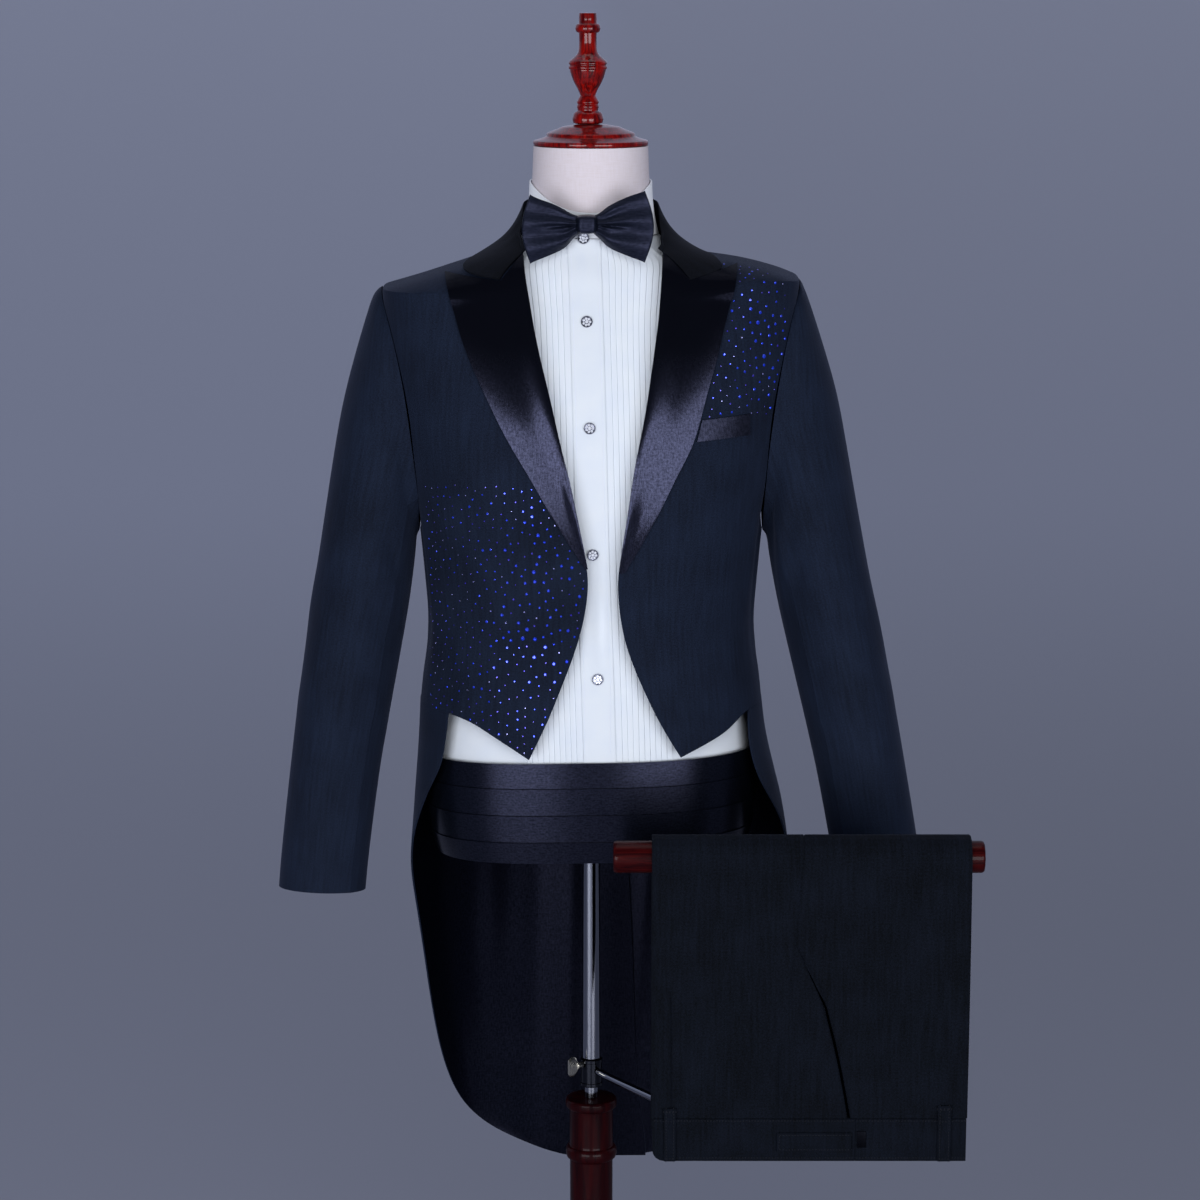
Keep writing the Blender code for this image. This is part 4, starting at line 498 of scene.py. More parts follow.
# Cream-plated cast wing screw: pale and warm, its lights spread out.
SCREW_METAL = Metal("wing_screw_plate", "steel", "#cfc9b8", 0.22)
# Pressed steel hook, blackened: a dull dark grey that hardly shows on the cloth.
HOOK_METAL = Metal("hook_metal", "steel", "#0d0e13", 0.40)
# Cast alloy settings: grey rims that frame the stones.
SETTING_METAL = Metal("stud_setting_metal", "crystal", "#6f7280", 0.25)
# Foil-backed cut glass, hot-fixed on the cloth: hard blue sparks, some violet, a few clear.
STONE_BLUE = CutGlass("cut_glass_blue", "crystal", "#2a55ff", 0.12, deep="#1325c8", foil=0.55)
STONE_VIOLET = CutGlass("cut_glass_violet", "crystal", "#4a41d8", 0.14, deep="#22148a", foil=0.55)
STONE_CLEAR = CutGlass("cut_glass_clear", "crystal", "#b9bdf0", 0.10, deep="#6d6ad0", foil=0.6)
# Clear cut glass in the studs: white facets with grey ones between.
STUD_STONE = CutGlass("cut_glass_stud", "crystal", "#f6f8ff", 0.08, deep="#d9dfec", foil=0.25)
# Spun polyester thread: short dull dashes, just off the colour of the cloth.
BLACK_THREAD = Thread("black_thread", "wool", "#12141d", 0.7)
WHITE_THREAD = Thread("white_thread", "cotton", "#d5dcf0", 0.7)


# ---- How cloth lies: the lines it wraps round, and its soft folds -----------------------------
@dataclass(frozen=True)
class Wrap:
    """A line that cloth wraps round, as rows of (z, x, y), and the radius its turns are measured at."""

    rows: tuple[tuple[float, float, float], ...]
    radius: float
    squash: float = 1.0  # more than 1 for a body that is wider than it is deep
    faces: float = 0.0  # degrees: the side that the grain's seam lies opposite to

    def read(self, points: np.ndarray) -> tuple[np.ndarray, np.ndarray]:
        """Find where points lie round the line.

        Args:
            points: an array of points.
        Returns:
            The distance round the line from the front, and the outward direction, of each.
        """
        heights = [row[0] for row in self.rows]
        x = points[:, 0] - np.interp(points[:, 2], heights, [row[1] for row in self.rows])
        y = points[:, 1] - np.interp(points[:, 2], heights, [row[2] for row in self.rows])
        turn = np.arctan2(x, -y * self.squash) - math.radians(self.faces)
        turn = (turn + math.pi) % (2 * math.pi) - math.pi + math.radians(self.faces)
        outward = np.stack([x, y * self.squash**2, np.zeros(len(x))], 1)
        outward /= np.maximum(np.linalg.norm(outward, axis=1, keepdims=True), 1e-9)
        return turn * self.radius, outward


@dataclass(frozen=True)
class Flat:
    """Cloth that hangs flat and faces the front."""

    def read(self, points: np.ndarray) -> tuple[np.ndarray, np.ndarray]:
        """Find where points lie across the cloth.

        Args:
            points: an array of points.
        Returns:
            The place across, and the outward direction, of each.
        """
        outward = np.zeros_like(points)
        outward[:, 1] = np.where(points[:, 1] < TROUSER_BAR_Y, -1.0, 1.0)
        return points[:, 0], outward


@dataclass(frozen=True)
class Fold:
    """A soft fold: its middle, the way it runs, and how far it lifts the cloth, or sinks it if below 0."""

    side: float  # metres round the cloth from its front
    z: float
    run: float  # degrees: 0 runs level, 90 upright
    length: float
    width: float
    rise: float

    def lift(self, side: np.ndarray, z: np.ndarray) -> np.ndarray:
        """Tell how far this fold moves points out.

        Args:
            side: the place of each round the cloth.
            z: the height of each.
        Returns:
            The way that each moves, in metres.
        """
        turn = math.radians(self.run)
        along = (side - self.side) * math.cos(turn) + (z - self.z) * math.sin(turn)
        across = -(side - self.side) * math.sin(turn) + (z - self.z) * math.cos(turn)
        return self.rise * np.exp(-(along / self.length) ** 2 - (across / self.width) ** 2)


Lie = Wrap | Flat  # what cloth lies round or on
BODY_ROUND, BODY_SQUASH, ARM_ROUND, NECK_ROUND = 0.165, 1.5, 0.055, 0.065
SWING, SWING_FROM, SWING_OVER = 0.022, 1.17, 0.40  # the left sleeve swings out below a height
# (z, x, y) up the middle of a sleeve
SLEEVE_LINE = ((0.766, 0.2908, -0.050), (0.906, 0.275, -0.030), (1.005, 0.260, -0.017),
               (1.1465, 0.2363, -0.008), (1.275, 0.2081, -0.003))
LEFT_SLEEVE_LINE = tuple((z, x + SWING * max(0.0, SWING_FROM - z) / SWING_OVER, y) for z, x, y in SLEEVE_LINE)
RIGHT_SLEEVE_LINE = tuple((z, -x, y) for z, x, y in SLEEVE_LINE)
POLE_LINE = ((0.0, 0.0, 0.0),)
BODY = Wrap(POLE_LINE, BODY_ROUND, BODY_SQUASH)
BODY_BACK_RIGHT = Wrap(POLE_LINE, BODY_ROUND, BODY_SQUASH, faces=-135.0)
BODY_BACK_LEFT = Wrap(POLE_LINE, BODY_ROUND, BODY_SQUASH, faces=135.0)
BODY_BACK = Wrap(POLE_LINE, BODY_ROUND, BODY_SQUASH, faces=180.0)
RIGHT_ARM = Wrap(RIGHT_SLEEVE_LINE, ARM_ROUND)
LEFT_ARM = Wrap(LEFT_SLEEVE_LINE, ARM_ROUND)
RIGHT_ARM_INNER = Wrap(RIGHT_SLEEVE_LINE, ARM_ROUND, faces=120.0)
LEFT_ARM_INNER = Wrap(LEFT_SLEEVE_LINE, ARM_ROUND, faces=-120.0)
NECK = Wrap(POLE_LINE, NECK_ROUND)
FLAT = Flat()

COAT_FOLDS = (
    Fold(0.215, 1.130, 88, 0.090, 0.015, -0.0035), Fold(0.180, 1.140, 86, 0.080, 0.012, 0.0020),
    Fold(-0.222, 1.120, 92, 0.090, 0.014, -0.0030), Fold(-0.190, 1.100, 94, 0.080, 0.013, 0.0018),
    Fold(0.150, 1.040, 70, 0.070, 0.020, 0.0015), Fold(-0.140, 1.050, 112, 0.070, 0.020, 0.0012),
    Fold(0.300, 1.080, 75, 0.100, 0.018, -0.0025), Fold(-0.300, 1.080, 105, 0.100, 0.018, -0.0025),
    Fold(0.380, 1.200, 55, 0.090, 0.020, 0.0025), Fold(-0.385, 1.195, 125, 0.090, 0.020, 0.0025),
    Fold(0.450, 1.030, 10, 0.090, 0.012, 0.0022), Fold(-0.440, 1.022, 170, 0.090, 0.012, 0.0022),
    Fold(0.340, 1.000, 160, 0.070, 0.010, 0.0016), Fold(-0.350, 1.010, 20, 0.070, 0.010, 0.0016),
)
TAIL_FOLDS = (
    Fold(-0.470, 0.700, 91, 0.200, 0.010, 0.0030), Fold(-0.430, 0.720, 88, 0.160, 0.012, -0.0030),
    Fold(-0.500, 0.640, 90, 0.180, 0.009, -0.0024), Fold(0.430, 0.660, 90, 0.200, 0.010, 0.0030),
    Fold(0.470, 0.690, 92, 0.220, 0.008, -0.0026), Fold(0.495, 0.600, 90, 0.150, 0.009, 0.0028),
    Fold(-0.360, 0.800, 84, 0.120, 0.018, 0.0022), Fold(0.360, 0.800, 96, 0.120, 0.018, 0.0022),
    Fold(-0.400, 0.520, 84, 0.090, 0.012, 0.0020), Fold(0.400, 0.500, 97, 0.090, 0.012, 0.0020),
)
RIGHT_SLEEVE_FOLDS = (
    Fold(0.040, 1.110, 118, 0.045, 0.007, -0.0030), Fold(0.055, 1.075, 112, 0.050, 0.007, 0.0025),
    Fold(0.030, 1.050, 128, 0.040, 0.008, -0.0018), Fold(-0.020, 0.990, 20, 0.050, 0.016, 0.0016),
    Fold(0.045, 0.965, 140, 0.040, 0.010, 0.0018), Fold(0.030, 0.805, 55, 0.012, 0.0035, 0.0014),
    Fold(-0.060, 1.100, 60, 0.070, 0.016, 0.0016), Fold(0.010, 0.880, 80, 0.080, 0.018, -0.0012),
)
LEFT_SLEEVE_FOLDS = (
    Fold(-0.046, 1.175, 70, 0.050, 0.006, -0.0034), Fold(-0.034, 1.155, 66, 0.055, 0.007, 0.0026),
    Fold(-0.020, 1.120, 60, 0.045, 0.007, -0.0022), Fold(-0.050, 1.100, 72, 0.050, 0.008, 0.0024),
    Fold(0.020, 1.000, 160, 0.050, 0.016, 0.0016), Fold(-0.040, 0.960, 40, 0.040, 0.010, 0.0016),
    Fold(0.055, 1.090, 110, 0.070, 0.016, 0.0016), Fold(-0.010, 0.860, 100, 0.080, 0.018, -0.0012),
)
SHIRT_FOLDS = (
    Fold(0.012, 1.075, 91, 0.050, 0.0075, -0.0070), Fold(-0.006, 1.080, 88, 0.040, 0.0070, 0.0030),
    Fold(0.070, 1.035, 97, 0.055, 0.0070, 0.0032), Fold(0.084, 1.000, 92, 0.060, 0.0060, -0.0010),
    Fold(0.098, 0.985, 88, 0.060, 0.0070, 0.0028), Fold(0.048, 0.975, 94, 0.045, 0.0060, 0.0018),
    Fold(-0.030, 0.985, 88, 0.060, 0.0080, 0.0018), Fold(-0.050, 0.965, 86, 0.045, 0.0070, 0.0022),
    Fold(-0.072, 0.980, 92, 0.040, 0.0070, 0.0016), Fold(0.020, 1.080, 90, 0.070, 0.0100, 0.0010),
    Fold(0.060, 1.220, 84, 0.090, 0.0090, 0.0012), Fold(-0.045, 1.300, 97, 0.080, 0.0090, 0.0010),
)
TROUSER_FOLDS = (
    Fold(0.115, 0.790, 80, 0.060, 0.022, 0.0016), Fold(0.175, 0.700, 96, 0.080, 0.020, -0.0014),
    Fold(0.300, 0.790, 70, 0.060, 0.020, 0.0018), Fold(0.330, 0.690, 84, 0.080, 0.018, -0.0015),
    Fold(0.270, 0.730, 62, 0.050, 0.012, 0.0016), Fold(0.100, 0.640, 92, 0.050, 0.010, -0.0012),
)


# ---- Meshes ---------------------------------------------------------------------------------
def points_of(mesh: Mesh) -> np.ndarray:
    """Read a mesh's points.

    Args:
        mesh: the mesh.
    Returns:
        An array with a row for each point.
    """
    flat = np.empty(len(mesh.vertices) * 3)
    mesh.vertices.foreach_get("co", flat)
    return flat.reshape(-1, 3)


def move_points(mesh: Mesh, points: np.ndarray) -> None:
    """Put a mesh's points in new places."""
    mesh.vertices.foreach_set("co", points.ravel())
    mesh.update()


def link(name: str, mesh: Mesh) -> Piece:
    """Put a mesh in the scene.

    Args:
        name: the name of the piece and the mesh.
        mesh: the mesh.
    Returns:
        The piece.
    """
    mesh.name = name
    piece = bpy.data.objects.new(name, mesh)
    bpy.context.scene.collection.objects.link(piece)
    return piece


def made(work: bmesh.types.BMesh, name: str) -> Mesh:
    """End the work on a mesh.

    Args:
        work: what was worked on, which is freed.
        name: the mesh's name.
    Returns:
        The mesh.
    """
    mesh = bpy.data.meshes.new(name)
    work.to_mesh(mesh)
    work.free()
    return mesh


def plain_mesh(piece: Piece) -> Mesh:
    """Turn a piece with live modifiers into a plain mesh.

    Args:
        piece: the piece, which is removed.
    Returns:
        The mesh that its modifiers make.
    """
    evaluated = piece.evaluated_get(bpy.context.evaluated_depsgraph_get())
    mesh = bpy.data.meshes.new_from_object(evaluated)
    old = piece.data
    bpy.data.objects.remove(piece)
    bpy.data.meshes.remove(old)
    return mesh


def subdivided(mesh: Mesh, levels: int, flat: bool = False) -> Mesh:
    """Round a mesh off with a Subdivision Surface.

    Args:
        mesh: the mesh, left as it was.
        levels: how many times its faces are divided.
        flat: whether they are only divided.
    Returns:
        The finer mesh.
    """
    piece = link("work", mesh.copy())
    rounding = piece.modifiers.new("Rounding", "SUBSURF")
    rounding.subdivision_type = "SIMPLE" if flat else "CATMULL_CLARK"
    rounding.levels = levels
    rounding.render_levels = levels
    return plain_mesh(piece)


def squared_copy(source: Mesh, rim: float) -> Mesh:
    """Copy a node's triangles into merged quads whose rims are creased.

    Args:
        source: the node's mesh, left alone.
        rim: edges sharper than this many degrees stay sharp.
    Returns:
        The new mesh.
    """
    raw = bpy.data.meshes.new("raw")
    raw.from_pydata([tuple(v.co) for v in source.vertices], [], [tuple(p.vertices) for p in source.polygons])
    work = bmesh.new()
    work.from_mesh(raw)
    bpy.data.meshes.remove(raw)
    bmesh.ops.remove_doubles(work, verts=work.verts, dist=MERGE)
    bmesh.ops.join_triangles(work, faces=work.faces, angle_face_threshold=math.radians(QUAD_BEND),
                             angle_shape_threshold=math.radians(QUAD_SKEW))
    crease = work.edges.layers.float.get("crease_edge") or work.edges.layers.float.new("crease_edge")
    for edge in work.edges:
        if len(edge.link_faces) != 2 or edge.calc_face_angle(0.0) > math.radians(rim):
            edge[crease] = 1.0
    return made(work, "squared")


def rounded_copy(node: Piece, levels: int, rim: float, flat: bool = False) -> Mesh:
    """Round a node's shape off without letting it shrink.

    Args:
        node: the frame's node.
        levels: how many times its faces are divided.
        rim: edges sharper than this many degrees stay sharp.
        flat: whether its faces are only divided, for cloth that is pressed flat.
    Returns:
        A finer mesh that passes through the node's own points.
    """
    cage = squared_copy(node.data, rim)
    if not flat:
        wanted = points_of(cage)
        first = subdivided(cage, min(levels, 2))
        short = wanted - points_of(first)[:len(wanted)]
        bpy.data.meshes.remove(first)
        move_points(cage, wanted + short * GIVEN_BACK)
    fine = subdivided(cage, levels, flat)
    bpy.data.meshes.remove(cage)
    return fine


def lay_grain(mesh: Mesh, lie: Lie) -> None:
    """Give a mesh the UV map that its threads follow, in metres.

    Args:
        mesh: the cloth's mesh.
        lie: what the cloth lies round or on.
    """
    points = points_of(mesh)
    side, _ = lie.read(points)
    layer = mesh.uv_layers.new(name=GRAIN)
    corners = np.empty(len(mesh.loops), dtype=np.int64)
    mesh.loops.foreach_get("vertex_index", corners)
    layer.data.foreach_set("uv", np.stack([side[corners], points[:, 2][corners]], 1).ravel())


def fold_up(mesh: Mesh, lie: Lie, folds: Sequence[Fold]) -> None:
    """Move a mesh's points by the folds that cross it, its face and its back alike.

    Args:
        mesh: the cloth's mesh.
        lie: what the cloth lies round or on.
        folds: the folds.
    """
    points = points_of(mesh)
    side, outward = lie.read(points)
    lift = sum(fold.lift(side, points[:, 2]) for fold in folds)
    move_points(mesh, points + outward * np.asarray(lift)[:, None])


def shade(mesh: Mesh, sharp: float = 48.0) -> None:
    """Shade smooth, apart from edges sharper than this many degrees."""
    mesh.shade_smooth()
    mesh.set_sharp_from_angle(angle=math.radians(sharp))


def layer_area(mesh: Mesh) -> float:
    """Measure one layer of a closed piece of cloth.

    Args:
        mesh: its face and its back.
    Returns:
        Half of their area, in square metres.
    """
    areas = np.empty(len(mesh.polygons))
    mesh.polygons.foreach_get("area", areas)
    return float(areas.sum()) / 2


def skinned(name: str, rings: Sequence[Sequence[Any]], sharp: float) -> Piece:
    """Skin a row of rings into a piece that is closed at both ends.

    Args:
        name: the piece's name.
        rings: the points of each ring, all in one turn.
        sharp: edges sharper than this many degrees are shaded so.
    Returns:
        The piece.
    """
    work = bmesh.new()
    loops = [[work.verts.new(point) for point in ring] for ring in rings]
    for low, high in zip(loops, loops[1:]):
        for step in range(len(low)):
            after = (step + 1) % len(low)
            work.faces.new((low[step], low[after], high[after], high[step]))
    work.faces.new(loops[0][::-1])
    work.faces.new(loops[-1])
    bmesh.ops.recalc_face_normals(work, faces=work.faces)
    mesh = made(work, name)
    shade(mesh, sharp)
    return link(name, mesh)


def revolve(name: str, profile: Line, sides: int, x: float = 0.0) -> Piece:
    """Turn a profile round the pole.

    Args:
        name: the piece's name.
        profile: its (radius, z), from one end to the other.
        sides: how many faces go round.
        x: how far from the pole its axis stands.
    Returns:
        The turned piece, closed at both ends.
    """
    circle = [2 * math.pi * step / sides for step in range(sides)]
    rings = [[(x + radius * math.cos(turn), radius * math.sin(turn), z) for turn in circle]
             for radius, z in profile]
    return skinned(name, rings, 32.0)


def softened(profile: Line, passes: int = 1, cut: float = 0.22) -> list[tuple[float, float]]:
    """Round the corners of a profile by cutting each one off.

    Args:
        profile: its (radius, z).
        passes: how many times the corners are cut.
        cut: the share of each straight part that a cut takes.
    Returns:
        The rounder profile.
    """
    line = list(profile)
    for _ in range(passes):
        cut_line = [line[0]]
        for (r0, z0), (r1, z1) in zip(line, line[1:]):
            cut_line.append((r0 + (r1 - r0) * cut, z0 + (z1 - z0) * cut))
            cut_line.append((r1 + (r0 - r1) * cut, z1 + (z0 - z1) * cut))
        line = cut_line + [line[-1]]
    return line


def tube(name: str, path: Sequence[Vector], radius: float, sides: int = 24) -> Piece:
    """Sweep a round rod along a path.

    Args:
        name: the piece's name.
        path: its middle line.
        radius: the rod's.
        sides: how many faces go round.
    Returns:
        The rod, closed at both ends.
    """
    rings = []
    across = Vector((0, 0, 1)).cross(path[1] - path[0]).normalized()
    for place, point in enumerate(path):
        before, after = path[max(place - 1, 0)], path[min(place + 1, len(path) - 1)]
        run = (after - before).normalized()
        across = (across - run * across.dot(run)).normalized()
        up = run.cross(across)
        rings.append([point + across * radius * math.cos(2 * math.pi * step / sides)
                      + up * radius * math.sin(2 * math.pi * step / sides) for step in range(sides)])
    return skinned(name, rings, 40.0)


# ---- Repeats, made with Geometry Nodes ------------------------------------------------------
def set_inputs(modifier: bpy.types.Modifier, values: dict[str, Any]) -> None:
    """Set a Geometry Nodes modifier's inputs through their identifiers.

    Args:
        modifier: the modifier, with its tree.
        values: a value for each input's name.
    """
    for item in modifier.node_group.interface.items_tree:
        if item.item_type == "SOCKET" and item.in_out == "INPUT" and item.name in values:
            modifier[item.identifier] = values[item.name]


def open_tree(name: str, sockets: Sequence[tuple[str, str]]) -> tuple[Tree, Node]:
    """Start a Geometry Nodes tree with one geometry in and one out.

    Args:
        name: the tree's name.
        sockets: the name and kind of each further input.
    Returns:
        The tree and its input node.
    """
    tree = bpy.data.node_groups.new(name, "GeometryNodeTree")
    tree.interface.new_socket(name="Geometry", in_out="INPUT", socket_type="NodeSocketGeometry")
    for label, kind in sockets:
        tree.interface.new_socket(name=label, in_out="INPUT", socket_type=kind)
    tree.interface.new_socket(name="Geometry", in_out="OUTPUT", socket_type="NodeSocketGeometry")
    return tree, add(tree, "NodeGroupInput")


def close_tree(tree: Tree, given: Node, instances: Node) -> None:
    """End a tree in Realize Instances and Set Material.

    Args:
        tree: the tree.
        given: its input node, with a Material.
        instances: the node that places the repeats.
    """
    real = add(tree, "GeometryNodeRealizeInstances", {"Geometry": instances.outputs["Instances"]})
    dressed = add(tree, "GeometryNodeSetMaterial", {
        "Geometry": real.outputs["Geometry"], "Material": given.outputs["Material"]})
    add(tree, "NodeGroupOutput", {0: dressed.outputs["Geometry"]})


def setting_tree() -> Tree:
    """Build what sets a stone on each point, square to the cloth and turned at random.

    Returns:
        The tree.
    """
    tree, given = open_tree("set_stones", (("Stone", "NodeSocketObject"), ("Seed", "NodeSocketInt"),
                                           ("Material", "NodeSocketMaterial")))
    facing = add(tree, "GeometryNodeInputNamedAttribute", {"Name": "facing"}, data_type="FLOAT_VECTOR")
    size = add(tree, "GeometryNodeInputNamedAttribute", {"Name": "size"}, data_type="FLOAT")
    upright = add(tree, "FunctionNodeAlignRotationToVector", {"Vector": facing.outputs["Attribute"]},
                  axis="Z")
    spin = add(tree, "FunctionNodeRandomValue", {"Seed": given.outputs["Seed"]}, data_type="FLOAT")
    turn = add(tree, "ShaderNodeMath", {0: spin.outputs[1], 1: 2 * math.pi}, operation="MULTIPLY")
    about = add(tree, "FunctionNodeAxisAngleToRotation", {"Angle": turn.outputs["Value"]})
    both = add(tree, "FunctionNodeRotateRotation", {
        "Rotation": upright.outputs["Rotation"], "Rotate By": about.outputs["Rotation"]},
        rotation_space="LOCAL")
    stone = add(tree, "GeometryNodeObjectInfo", {"Object": given.outputs["Stone"]})
    placed = add(tree, "GeometryNodeInstanceOnPoints", {
        "Points": given.outputs["Geometry"], "Instance": stone.outputs["Geometry"],
        "Rotation": both.outputs["Rotation"], "Scale": size.outputs["Attribute"]})
    close_tree(tree, given, placed)
    return tree


def stitching_tree() -> Tree:
    """Build what lays a stitch at every pitch along a line on the cloth.

    Returns:
        The tree.
    """
    tree, given = open_tree("sew_line", (("Stitch", "NodeSocketObject"), ("Pitch", "NodeSocketFloat"),
                                         ("Material", "NodeSocketMaterial")))
    curve = add(tree, "GeometryNodeMeshToCurve", {"Mesh": given.outputs["Geometry"]})
    even = add(tree, "GeometryNodeResampleCurve", {
        "Curve": curve.outputs["Curve"], "Length": given.outputs["Pitch"]}, mode="LENGTH")
    tangent = add(tree, "GeometryNodeInputTangent")
    facing = add(tree, "GeometryNodeInputNamedAttribute", {"Name": "facing"}, data_type="FLOAT_VECTOR")
    along = add(tree, "FunctionNodeAlignRotationToVector", {"Vector": tangent.outputs["Tangent"]}, axis="X")
    square = add(tree, "FunctionNodeAlignRotationToVector", {
        "Rotation": along.outputs["Rotation"], "Vector": facing.outputs["Attribute"]}, axis="Z",
        pivot_axis="X")
    stitch = add(tree, "GeometryNodeObjectInfo", {"Object": given.outputs["Stitch"]})
    placed = add(tree, "GeometryNodeInstanceOnPoints", {
        "Points": even.outputs["Curve"], "Instance": stitch.outputs["Geometry"],
        "Rotation": square.outputs["Rotation"]})
    close_tree(tree, given, placed)
    return tree


def placed_points(name: str, places: Sequence[Seat], in_line: bool = False) -> Piece:
    """Make points that carry where they face and a size.

    Args:
        name: the piece's name.
        places: the points.
        in_line: whether each is joined to the next.
    Returns:
        The piece, which a tree's modifier is put on.
    """
    mesh = bpy.data.meshes.new(name)
    edges = [(step, step + 1) for step in range(len(places) - 1)] if in_line else []
    mesh.from_pydata([tuple(place[0]) for place in places], edges, [])
    facing = mesh.attributes.new("facing", "FLOAT_VECTOR", "POINT")
    facing.data.foreach_set("vector", [value for place in places for value in place[1]])
    size = mesh.attributes.new("size", "FLOAT", "POINT")
    size.data.foreach_set("value", [place[2] for place in places])
    return link(name, mesh)


def cut_stone(name: str, sides: int = 8) -> Piece:
    """Cut a flat-backed stone of radius 1: a girdle, a ring of facets and a table.

    Args:
        name: the piece's name.
        sides: how many facets go round.
    Returns:
        The stone.
    """
    work = bmesh.new()
    rings = []
    for radius, z, skew in ((0.96, 0.0, 0.0), (1.0, 0.14, 0.0), (0.58, 0.56, 0.5)):
        rings.append([work.verts.new((radius * math.cos(2 * math.pi * (step + skew) / sides),
                                      radius * math.sin(2 * math.pi * (step + skew) / sides), z))
                      for step in range(sides)])
    back, girdle, table = rings
    for step in range(sides):
        after = (step + 1) % sides
        work.faces.new((back[step], back[after], girdle[after], girdle[step]))
        work.faces.new((girdle[step], girdle[after], table[step]))
        work.faces.new((girdle[after], table[after], table[step]))
    work.faces.new(table)
    work.faces.new(back[::-1])
    bmesh.ops.recalc_face_normals(work, faces=work.faces)
    return link(name, made(work, name))


def stitch_shape(name: str, length: float, thick: float) -> Piece:
    """Make one stitch that lies along X: a short thread, thin at both ends.

    Args:
        name: the piece's name.
        length: of the stitch.
        thick: of the thread.
    Returns:
        The stitch.
    """
    work = bmesh.new()
    bmesh.ops.create_icosphere(work, subdivisions=1, radius=1.0)
    for vert in work.verts:
        vert.co = Vector((vert.co.x * length / 2, vert.co.y * thick / 2, vert.co.z * thick / 2))
    mesh = made(work, name)
    mesh.shade_smooth()
    return link(name, mesh)


# ---- The workshop: one place that knows the frame and finishes every piece ------------------
@dataclass
class Workshop:
    """Holds the frame and puts each finished piece into it."""

    nodes: dict[str, Piece]
    done: list[str] = field(default_factory=list)

    def finish(self, piece: Piece, finishes: Sequence[Finish], stands_for: Sequence[str] = (),
               said: str = "") -> Piece:
        """Dress a piece, let it ride on the frame and note it.

        Args:
            piece: the piece, in place.
            finishes: its materials in the order of its faces' numbers.
            stands_for: the nodes it replaces.
            said: what the log says of it.
        Returns:
            The piece.
        """
        numbers = np.empty(len(piece.data.polygons), dtype=np.int32)
        piece.data.polygons.foreach_get("material_index", numbers)
        piece.data.materials.clear()
        for finish in finishes:
            piece.data.materials.append(finish.build())
        piece.data.polygons.foreach_set("material_index", np.minimum(numbers, len(finishes) - 1))
        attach(piece, "root")
        if stands_for:
            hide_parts(*stands_for)
        self.done.append(piece.name)
        log.info("%-26s %6d faces  %s", piece.name, len(piece.data.polygons), said)
        return piece


@dataclass(frozen=True)
class Cut:
    """One piece of cloth: the node it is cut from, how it lies, and what it was cut from flat."""

    node: str
    finish: Finish
    flat: tuple[float, float]
    held: str
    rests_on: tuple[str, ...]
    lie: Lie = BODY
    folds: tuple[Fold, ...] = ()
    lining: Optional[Finish] = None
    levels: int = 2
    rim: float = 50.0  # degrees: sharper edges than this stay so
    pressed: bool = False
    inwards: float = 0.35  # a face that looks in by more than this cosine shows the lining

    @property
    def name(self) -> str:
        """The finished piece's name."""
        return "cloth_" + self.node

    def make(self, shop: Workshop, reshape: Optional[Reshape] = None) -> Piece:
        """Round the node off, fold it and dress it.

        Args:
            shop: the workshop.
            reshape: what else is done to the mesh before it is shaded.
        Returns:
            The finished piece.
        """
        mesh = rounded_copy(shop.nodes[self.node], self.levels, self.rim, self.pressed)
        if self.folds:
            fold_up(mesh, self.lie, self.folds)
        if reshape:
            reshape(mesh)
        lay_grain(mesh, self.lie)
        shade(mesh)
        piece = shop.finish(link(self.name, mesh), [self.finish], (self.node,), self.held)
        if self.lining:
            self.line(mesh)
        area = min(layer_area(mesh), self.flat[0] * self.flat[1])
        return piece

    def line(self, mesh: Mesh) -> None:
        """Give the faces that look inwards the lining's material.

        Args:
            mesh: the cloth's mesh, with its own material on.
        """
        mesh.materials.append(self.lining.build())
        normals = np.empty(len(mesh.polygons) * 3)
        centres = np.empty(len(mesh.polygons) * 3)
        mesh.polygons.foreach_get("normal", normals)
        mesh.polygons.foreach_get("center", centres)
        _, outward = self.lie.read(centres.reshape(-1, 3))
        inside = (normals.reshape(-1, 3) * outward).sum(1) < -self.inwards
        mesh.polygons.foreach_set("material_index", inside.astype(np.int32))


@dataclass
class Ground:
    """Finished cloth that something is set on: finds a point by a ray."""

    pieces: Sequence[Piece]

    def __post_init__(self) -> None:
        """Collect the pieces' faces into one search tree."""
        points, faces, self.owner = [], [], []
        for piece in self.pieces:
            start = len(points)
            points += [tuple(v.co) for v in piece.data.vertices]
            for face in piece.data.polygons:
                faces.append([start + index for index in face.vertices])
                self.owner.append(piece.name)
        self.tree = BVHTree.FromPolygons(points, faces)

    def front(self, x: float, z: float) -> Optional[Spot]:
        """Look at the cloth from the front.

        Args:
            x: the place across.
            z: the height.
        Returns:
            The point, the way out of the cloth and the piece's name, or None where there is no cloth.
        """
        run = Vector((0.0, 1.0, 0.0))
        point, normal, index, _ = self.tree.ray_cast(Vector((x, -1.0, z)), run)
        if point is None:
            return None
        return point, -normal if normal.dot(run) > 0 else normal, self.owner[index]


